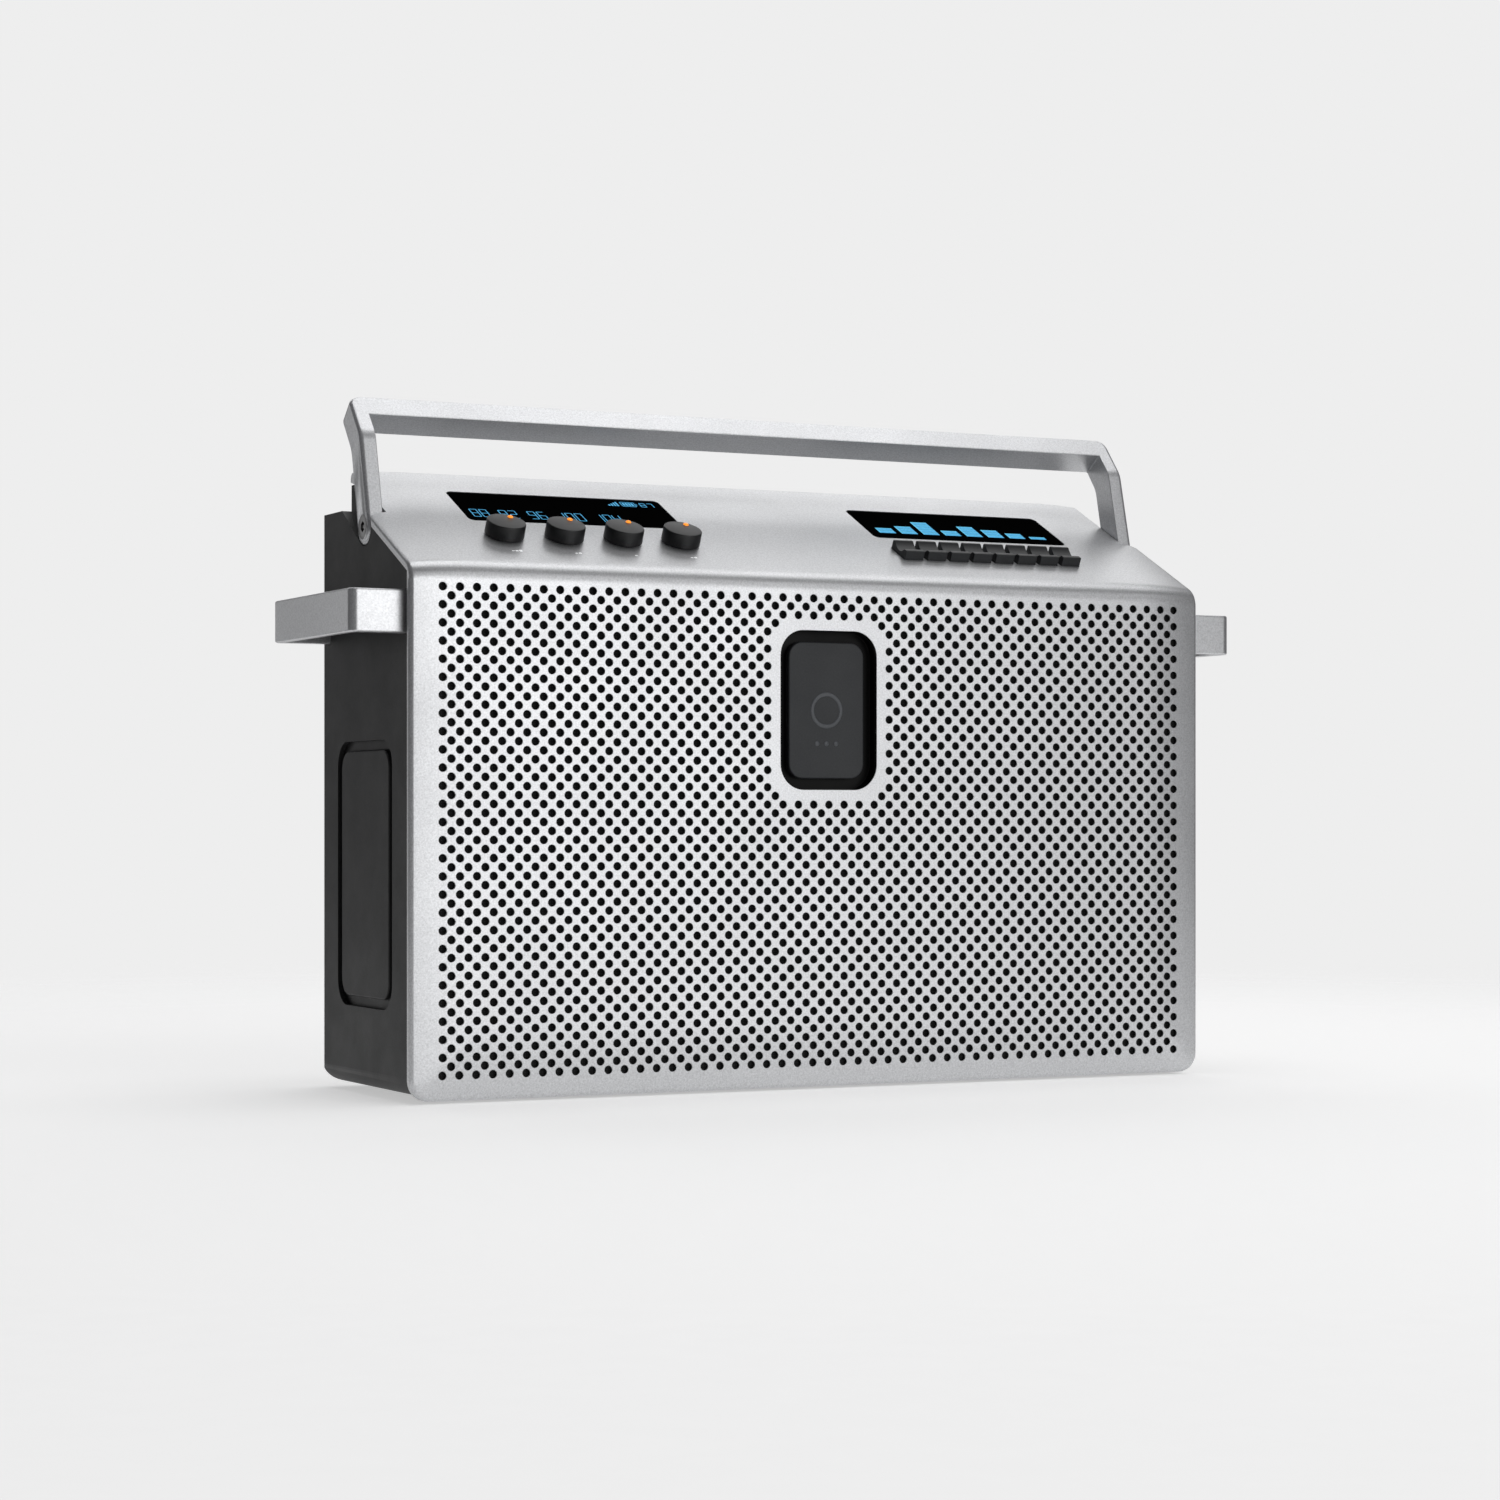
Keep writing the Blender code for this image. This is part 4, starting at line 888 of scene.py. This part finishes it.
def make_side_pads():
    for name, side in SIDES:
        low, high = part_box("side_pad_" + name)
        width, height = high.y - low.y, high.z - low.z
        root, face = (high.x, low.x) if side < 0 else (low.x, high.x)
        step = root + side * 1.6 * MM
        plate = rounded_rect(*PAD_PLACE, width, height, 16 * MM, 12)
        raised = rounded_rect(*PAD_PLACE, width - PAD_MARGIN, height - PAD_MARGIN, 8.5 * MM, 12)
        steps = ((root, plate), (step, plate), (step, raised), (face, raised))
        sections = [placed(x, outline) for x, outline in steps]
        pad = mesh_object("side_pad_detail_" + name, loft(sections), black, FORWARD)
        bevel(pad, 1.3 * MM, 5, 40)
        piece(pad, "case", ["side_pad_" + name])


# ------ handle and strap loops


def arm_outline():
    front, rear = ARM_FRONT_KINK, ARM_REAR_KINK
    end = arm_end((-0.3 * MM, -1.164 * MM), ARM_END_R, front, rear)
    corners = end + [rear, ARM_REAR_TOP, ARM_FRONT_TOP, front]
    return rounded(corners, [0] * len(end) + [KINK_R, 0, 0, KINK_R], 10)


def make_handle():
    """The bail: two flat arms and the grip between them, in one piece of cast metal."""
    place = Matrix.Translation((0, PIVOT.y, PIVOT.z))
    bail = extruded("handle_bail", arm_outline(), "X", -ARM_OUTER, ARM_OUTER, handle_silver, place)
    front, rear = Vector(ARM_FRONT_TOP), Vector(ARM_REAR_TOP)
    lean = (front - Vector(ARM_FRONT_KINK)).normalized()
    across = (rear - front).normalized()
    under = [front - lean * 11.4 * MM, rear - lean * 9.35 * MM]
    slope = (under[1] - under[0]).normalized()
    below = [under[0] - slope * 60 * MM, under[1] + slope * 60 * MM]
    gap = below + [point - lean * 120 * MM for point in below[::-1]]
    cut(bail, [(prism_mesh(gap, "X", -ARM_INNER, ARM_INNER), place)])
    # Seen square to the top of the arms, the bail's outer corners are rounded
    top = Matrix(((1, 0, 0, 0), (0, across.x, lean.x, front.x), (0, across.y, lean.y, front.y),
                  (0, 0, 0, 1)))
    corner = rounded_rect(0, -100 * MM, 2 * ARM_OUTER, 200 * MM, 5.2 * MM, 10)
    cut(bail, [(prism_mesh(corner, "Y", -60 * MM, 80 * MM), place @ top)], "INTERSECT")
    holes = []
    for side in (-1, 1):
        bore = prism_mesh(circle(0, 0, 3.1 * MM, 32), "X", side * 190 * MM, side * 215 * MM)
        head = prism_mesh(circle(0, 0, 5.85 * MM, 48), "X", side * (ARM_OUTER - 3.1 * MM),
                          side * (ARM_OUTER + 5 * MM))
        holes += [(bore, place), (head, place)]

    def share(point, edge):
        ends = [abs(v.co.x) for v in edge.verts]
        if min(ends) > ARM_OUTER - 0.05 * MM:
            return 1.0
        if min(ends) > ARM_OUTER - 6 * MM and max(ends) > ARM_OUTER - 5.3 * MM:
            return 0.24 + 0.76 * max(0.0, (abs(point.x) - ARM_OUTER + 5.2 * MM) / (5.2 * MM))
        return 0.24

    bevel(bail, 2.1 * MM, 5, 35, share)
    cut(bail, holes)
    settle(bail, 40)
    piece(bail, "handle", ["handle_grip", "handle_arm_left", "handle_arm_right"])


def make_pivot_screws():
    profile = [
        (0, -15.6), (2.6, -15.6), (3.0, -15.2), (3.0, -2.8), (5.7, -2.8), (5.7, -0.35),
        (5.45, -0.1), (4.9, -0.1), (4.75, -0.25), (4.55, -0.25), (4.4, -0.1), (0, -0.1),
    ]
    pin = [(0, -0.5), (0.7, -0.55), (0.95, -0.8), (0.95, -2.5), (0, -2.5)]
    for name, side in SIDES:
        place = facing((side * ARM_OUTER, PIVOT.y, PIVOT.z), (side, 0, 0))
        screw = mesh_object("pivot_screw_detail_" + name, lathe_mesh(profile, 64), screw_steel,
                            place)
        cut(screw, [(prism_mesh(circle(0, 0, 2.6 * MM, 6), "Z", -2.2 * MM, 2 * MM), place)])
        bevel(screw, 0.12 * MM, 2, 50)
        piece(screw, "case", ["pivot_screw_" + name])
        turned("pivot_pin_" + name, pin, 24, steel, place, 50, "case", "steel")


def make_strap_loops():
    for name, side in SIDES:
        low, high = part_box("strap_loop_" + name)
        front, rear = low.y - FRONT_Y, high.y - FRONT_Y
        out, root, bar = 231.7 * MM, 197.0 * MM, 4.5 * MM
        inside = out - bar
        corners = [
            (root, front), (out, front), (out, rear), (root, rear),
            (root, rear - bar), (inside, rear - bar), (inside, front + bar), (root, front + bar),
        ]
        radii = [0, 4 * MM, 4 * MM, 0, 0, MM, MM, 0]
        outline = [(side * x, y) for x, y in rounded(corners, radii, 10)]
        loop = extruded("strap_loop_detail_" + name, outline, "Z", low.z, high.z, silver)
        bevel(loop, 1.3 * MM, 5, 60)
        piece(loop, "case", ["strap_loop_" + name])


# ------ displays

SEGMENTS = {
    "0": "abcdef", "1": "bc", "2": "abged", "4": "fgbc", "6": "afgedc", "7": "abc",
    "8": "abcdefg", "9": "abcdfg",
}
STROKES = {
    "a": ((0, 1), (1, 1)), "b": ((1, 1), (1, 0.5)), "c": ((1, 0.5), (1, 0)),
    "d": ((0, 0), (1, 0)), "e": ((0, 0.5), (0, 0)), "f": ((0, 1), (0, 0.5)),
    "g": ((0, 0.5), (1, 0.5)),
}


def add_flat(bm, outline, low, high):
    """A flat body from an outline and two heights in mm."""
    add_loft(bm, [[(x * MM, y * MM, z * MM) for x, y in outline] for z in (low, high)])


def add_bar(bm, start, end, thick, low, high):
    """A small bevelled bar between two points of a display's own plane."""
    start, end = Vector(start), Vector(end)
    along = (end - start).normalized()
    aside = Vector((-along.y, along.x)) * (thick / 2)
    tip = along * (thick / 2)
    shape = [start - tip * 0.2, start + aside + tip, end + aside - tip, end + tip * 0.2,
             end - aside - tip, start - aside + tip]
    add_flat(bm, shape, low, high)


def add_digits(bm, text, x, y, width, height, pitch, thick, low, high):
    for i, sign in enumerate(text):
        for stroke in SEGMENTS.get(sign, ""):
            ends = [(x + i * pitch + a * width, y + b * height) for a, b in STROKES[stroke]]
            add_bar(bm, *ends, thick, low, high)


def add_tile(bm, x, y, width, height, low, high, radius=0.0):
    outline = rounded_rect(x + width / 2, y + height / 2, width, height, radius, 2)
    add_flat(bm, outline, low, high)


def add_dial(lit, low, high):
    """The left display's marks: numbers along a dial, a signal wedge and a battery sign."""
    add_digits(lit, "88 92 96 100 104", -50, -12.4, 3.4, 9.0, 4.8, 0.42, low, high)
    add_digits(lit, "87", 43.4, 9.6, 2.6, 4.6, 4.0, 0.38, low, high)
    for i in range(4):
        add_tile(lit, 26.2 + 1.5 * i, 9.4, 0.9, 1.6 + 1.2 * i, low, high)
        add_tile(lit, 34.2 + 1.5 * i, 10.4, 1.1, 3.4, low, high)
    for ends in (((33.4, 9.5), (40.6, 9.5)), ((33.4, 14.7), (40.6, 14.7)),
                 ((33.4, 9.5), (33.4, 14.7)), ((40.6, 9.5), (40.6, 14.7)),
                 ((41.4, 11), (41.4, 13.2))):
        add_bar(lit, *ends, 0.35, low, high)


def add_graph(lit, rims, low, high):
    """The right display's stacks of tiles, each with paler rims at its top and left."""
    bottom, pitch, proud = -10.6, 3.3, high + 0.03
    for i, count in enumerate((2, 3, 5, 2, 4, 3, 2, 1)):
        left = -48.1 + 12.3 * i
        for level in range(count):
            base = bottom + pitch * level
            add_tile(lit, left, base, 9, 2.9, low, high)
            add_tile(rims, left, base + 2.5, 9, 0.4, low, proud)
        add_tile(rims, left, bottom, 0.4, pitch * count - 0.4, low, proud)


def make_displays():
    low, high = -0.19, -0.15
    for side in ("left", "right"):
        x, s, width, height = node_on_deck("display_lens_" + side)
        place = deck_frame(x, s)
        outline = rounded_rect(0, 0, width, height, 3 * MM, 10)
        lens = extruded("display_glass_" + side, outline, "Z", -1.8 * MM, -0.2 * MM, glass, place)
        bevel(lens, 0.15 * MM, 2, 40)
        piece(lens, "case", ["display_lens_" + side])
        lit = bmesh.new()
        if side == "left":
            add_dial(lit, low, high)
        else:
            rims = bmesh.new()
            add_graph(lit, rims, low, high)
            rims = mesh_object("display_edges_right", rims, pale_cyan, place)
            piece(rims, "case")
        piece(mesh_object("display_marks_" + side, lit, cyan, place), "case")


# ------ knobs and keys


def make_knobs():
    profile = [
        (0, 5.6), (3.1, 5.6), (3.1, 0.4), (8.7, 0.4), (9.05, 0.5), (9.2, 0.8), (9.1, 6.7),
        (9.02, 7.0), (8.85, 7.2), (8.6, 7.3), (0, 7.3),
    ]
    dot = [(0, 0.80), (0.55, 0.72), (1.0, 0.48), (1.3, 0.12), (1.35, -0.3), (0, -0.3)]
    marks = ((3, 0.0), (2, 0.6), (1, 0.0), (2, -0.3))  # strokes, and how far to the right
    for i, (place, (count, shift)) in enumerate(zip(KNOBS, marks), 1):
        x, s, _ = on_deck(place)
        name = f"knob_{i}"
        turned(name + "_detail", profile, 96, knob_black, deck_frame(x, s), 40, name,
               "charcoal_plastic", [name])
        tip = deck_frame(x + 3.6 * MM, s + 5.1 * MM, 7.3 * MM)
        # The pointer dot glows with painted light from its emission.
        turned(name + "_pointer", dot, 32, orange, tip, 60, name, "charcoal_plastic")
        print_marks(i, x, count, shift)


def print_marks(i, x, count, shift):
    """A few small printed strokes under a knob, each taller than the last; their white has a
    painted glow.
    """
    bm = bmesh.new()
    for k in range(count):
        left = x / MM + shift - count * 0.9 + k * 1.9
        add_tile(bm, left, 18.1, 1.3, 0.7 + 0.5 * k, -0.02, 0.03, 0.15)
    piece(mesh_object(f"knob_print_{i}", bm, white, deck_frame(0, 0)), "case")


def key_profile():
    """A key in the side view, front to rear: a front block, a hollow for the finger, a crest."""
    half = 7.4
    base, dish, top = -1.6, 2.0, 4.4
    lip, crest = -half + 2.9, half - 1.5
    points = [(-half, base), (-half + 0.05, top - 0.35), (-half + 0.4, top), (lip - 0.35, top)]
    points.append((lip, top - 0.4))
    steps = 18
    for i in range(1, steps):
        y = lip + (crest - lip) * i / steps
        t = i / steps
        sag = sin(pi * t ** 0.8)
        points.append((y, top - 0.1 - (top - dish) * sag ** 0.9))
    points += [(crest, top - 0.05), (crest + 0.3, top), (half - 0.35, top - 0.1), (half, top - 0.5)]
    points.append((half, base))
    return [(a * MM, b * MM) for a, b in points]


def make_keys():
    for i in range(1, 9):
        name = f"key_{i}"
        x, s, width, _ = node_on_deck(name)
        half = width / 2
        key = extruded(name + "_detail", key_profile(), "X", -half, half, key_black,
                       deck_frame(x, s))
        bevel(key, 0.32 * MM, 3, 60)
        piece(key, name, [name])


# ------ rear details and feet


def make_rear_details():
    low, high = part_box("connector_plate")
    middle = (low.z + high.z) / 2
    face = high.y - FRONT_Y
    plate = rounded_rect(0, middle, high.x - low.x, high.z - low.z, 4 * MM, 10)
    panel = extruded("connector_panel", plate, "Y", low.y - FRONT_Y, face, charcoal)
    openings = [
        rounded_rect(-38 * MM, middle, 22 * MM, 14 * MM, 3 * MM, 6),
        rounded_rect(-12 * MM, middle, 9 * MM, 3.4 * MM, 1.6 * MM, 6),
        circle(8 * MM, middle, 3.1 * MM, 32),
        circle(24 * MM, middle, 3.1 * MM, 32),
        rounded_rect(42 * MM, middle, 12 * MM, 6 * MM, 0.8 * MM, 4),
    ]
    holes = [forward(o, "Y", face - 1.8 * MM, face + 2 * MM) for o in openings]
    cut(panel, holes)
    bevel(panel, 0.3 * MM, 2, 40)
    piece(panel, "case", ["connector_plate"])
    sleeve = [(1.75, -1.7), (1.75, -0.1), (1.9, 0.0), (2.9, 0.0), (3.05, -0.15), (3.05, -1.7)]
    for i, x in ((1, 8), (2, 24)):
        place = facing((x * MM, high.y - 0.1 * MM, middle), (0, 1, 0))
        turned(f"jack_sleeve_{i}", sleeve, 40, steel, place, 40, "case", "steel")
    pins = bmesh.new()
    for x, width, height, depth in ((-41.5, 1.8, 4.4, 1.2), (-34.5, 1.8, 4.4, 1.2),
                                    (-12, 5.2, 0.8, 1.0), (42, 5.2, 0.8, 1.0)):
        add_tile(pins, x - width / 2, middle / MM - height / 2, width, height, 0, depth)
    for vertex in pins.verts:
        x, up, out = vertex.co
        vertex.co = (x, high.y - 1.9 * MM + out, up)
    piece(mesh_object("socket_contacts", pins, steel), "case")
    make_case_screws()


def make_case_screws():
    profile = [(0, -10.8), (1.2, -10.8), (1.5, -10.4), (1.5, -1), (3.2, -1), (3.2, -0.45),
               (2.9, -0.12), (0, -0.1)]
    for i in range(1, 5):
        x, _, z = middle_of(f"case_screw_{i}")
        place = facing((x, house_high.y, z), (0, 1, 0))
        screw = mesh_object(f"case_screw_detail_{i}", lathe_mesh(profile, 40),
                            screw_steel, place)
        cross = [rounded_rect(0, 0, a * MM, b * MM, 0.2 * MM, 2)
                 for a, b in ((3.6, 0.8), (0.8, 3.6))]
        cut(screw, [(prism_mesh(o, "Z", -0.9 * MM, MM), place) for o in cross])
        settle(screw, 40)
        piece(screw, "case", [f"case_screw_{i}"])


def make_feet():
    for i in range(1, 5):
        low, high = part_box(f"foot_{i}")
        x, y, _ = middle_of(f"foot_{i}")
        top = (high.z - low.z) / MM
        profile = [(0, 0.25), (3.0, 0.25), (3.3, 0.0), (7.0, 0.0), (7.6, 0.15), (7.95, 0.55),
                   (8.0, 1.0), (8.0, top), (0, top)]
        place = Matrix.Translation((x, y, low.z))
        turned(f"foot_detail_{i}", profile, 64, rubber, place, 40, "case", "rubber", [f"foot_{i}"])


# ------ inside


def dress_inner_nodes():
    """Materials for the solids that are shown as the CAD made them."""
    looks = {
        "baffle": fibreboard, "woofer_frame": pressed_steel, "woofer_cone": cone_paper,
        "woofer_magnet": ferrite, "tweeter": ferrite, "display_module": board_green,
        "encoder": pressed_steel, "knob_shaft": steel, "key_tray": black,
        "control_board": board_green, "amplifier": board_green, "battery": wrap_blue,
    }
    for name, node in frame["nodes"].items():
        for start, look in looks.items():
            if name.startswith(start):
                node.data.materials.clear()
                node.data.materials.append(look)


make_front_shell()
make_cloth()
make_window()
make_housing()
make_side_pads()
make_handle()
make_pivot_screws()
make_strap_loops()
make_displays()
make_knobs()
make_keys()
make_rear_details()
make_feet()
dress_inner_nodes()


# ------ stage

BACKDROP = (0.855, 0.855, 0.855, 1)
AMBIENT = (0.10, 0.10, 0.103, 1)
FLOOR_R = 1.6
FLOOR_RINGS = 24
FLOOR_GLOW = 0.47
FLOOR_FADE = (0.35, 1.5)  # from this far out the floor fades, and by this far it's gone
CENTRE = (0, 0, 0.15)


def softbox(name, location, target, size, brightness):
    """An area light given by the brightness of its face."""
    light = bpy.data.lights.new(name, "AREA")
    light.shape = "RECTANGLE"
    light.size, light.size_y = size
    light.energy = brightness * size[0] * size[1] * pi
    obj = add_object(name, light)
    obj.location = location
    aim = Vector(target) - Vector(location)
    obj.rotation_euler = aim.to_track_quat("-Z", "Y").to_euler()


def make_floor():
    """A pale sheet under the object that fades into the backdrop around it."""
    bm = bmesh.new()
    rings = []
    for k in range(1, FLOOR_RINGS + 1):
        radius = FLOOR_R * k / FLOOR_RINGS
        rings.append([bm.verts.new((x, y, 0)) for x, y in circle(0, 0, radius, 64)])
    bm.faces.new(rings[0])
    for low, high in zip(rings, rings[1:]):
        skin(bm, high, low)
    floor = mesh_object("floor", bm)
    paper = Nodes("floor_paper")
    paper.ramp(paper.noise(60), [(0.3, grey(0.79)), (0.7, grey(0.81))])
    paper.set(Roughness=0.9, Emission_Color=(1, 1, 1, 1))
    path = paper.add("ShaderNodeLightPath").outputs
    seen = paper.math("MAXIMUM", path["Is Camera Ray"], path["Is Glossy Ray"])
    glow = paper.math("MULTIPLY", seen, FLOOR_GLOW)
    paper.link(glow, paper.shader.inputs["Emission Strength"])
    length = paper.add("ShaderNodeVectorMath")
    length.operation = "LENGTH"
    paper.link(paper.coords, length.inputs[0])
    fade = paper.map(length.outputs["Value"], FLOOR_FADE, 1.0, 0.0)
    fade.interpolation_type = "SMOOTHERSTEP"
    paper.link(fade.outputs["Result"], paper.shader.inputs["Alpha"])
    floor.data.materials.append(paper.material)


def make_world():
    """An even pale backdrop, and a dimmer studio around it that lights the object."""
    world = bpy.data.worlds.new("studio")
    bpy.context.scene.world = world
    world.use_nodes = True
    nodes, links = world.node_tree.nodes, world.node_tree.links
    nodes.clear()
    mix = nodes.new("ShaderNodeMixShader")
    links.new(nodes.new("ShaderNodeLightPath").outputs["Is Camera Ray"], mix.inputs[0])
    for i, colour in enumerate((AMBIENT, BACKDROP)):
        light = nodes.new("ShaderNodeBackground")
        light.inputs["Color"].default_value = colour
        links.new(light.outputs[0], mix.inputs[i + 1])
    links.new(mix.outputs[0], nodes.new("ShaderNodeOutputWorld").inputs["Surface"])


def make_lights():
    softbox("front_box", (0.50, -2.1, 0.50), (0, 0, 0.25), (1.5, 1.2), 2.3)
    softbox("high_box", (0.85, -1.75, 1.65), (0, 0, 0.28), (1.6, 0.45), 1.4)
    softbox("over_box", (0.50, 0.0, 2.1), (0.50, 0.0, 0), (2.0, 1.1), 1.75)
    softbox("back_box", (0.45, 1.5, 1.7), CENTRE, (2.3, 1.3), 1.3)
    softbox("left_box", (-1.2, 1.75, 0.45), CENTRE, (0.9, 1.2), 0.6)


def make_camera():
    data = bpy.data.cameras.new("camera")
    data.lens = 79.41
    data.sensor_width = 36
    data.shift_y = 0.0459
    camera = add_object("camera", data)
    camera.location = (-0.7186, -1.4277, 0.1261)
    camera.rotation_euler = (radians(90), 0, radians(-26.384))
    bpy.context.scene.camera = camera


make_floor()
make_world()
make_lights()
make_camera()
bpy.context.scene.view_settings.view_transform = "Standard"
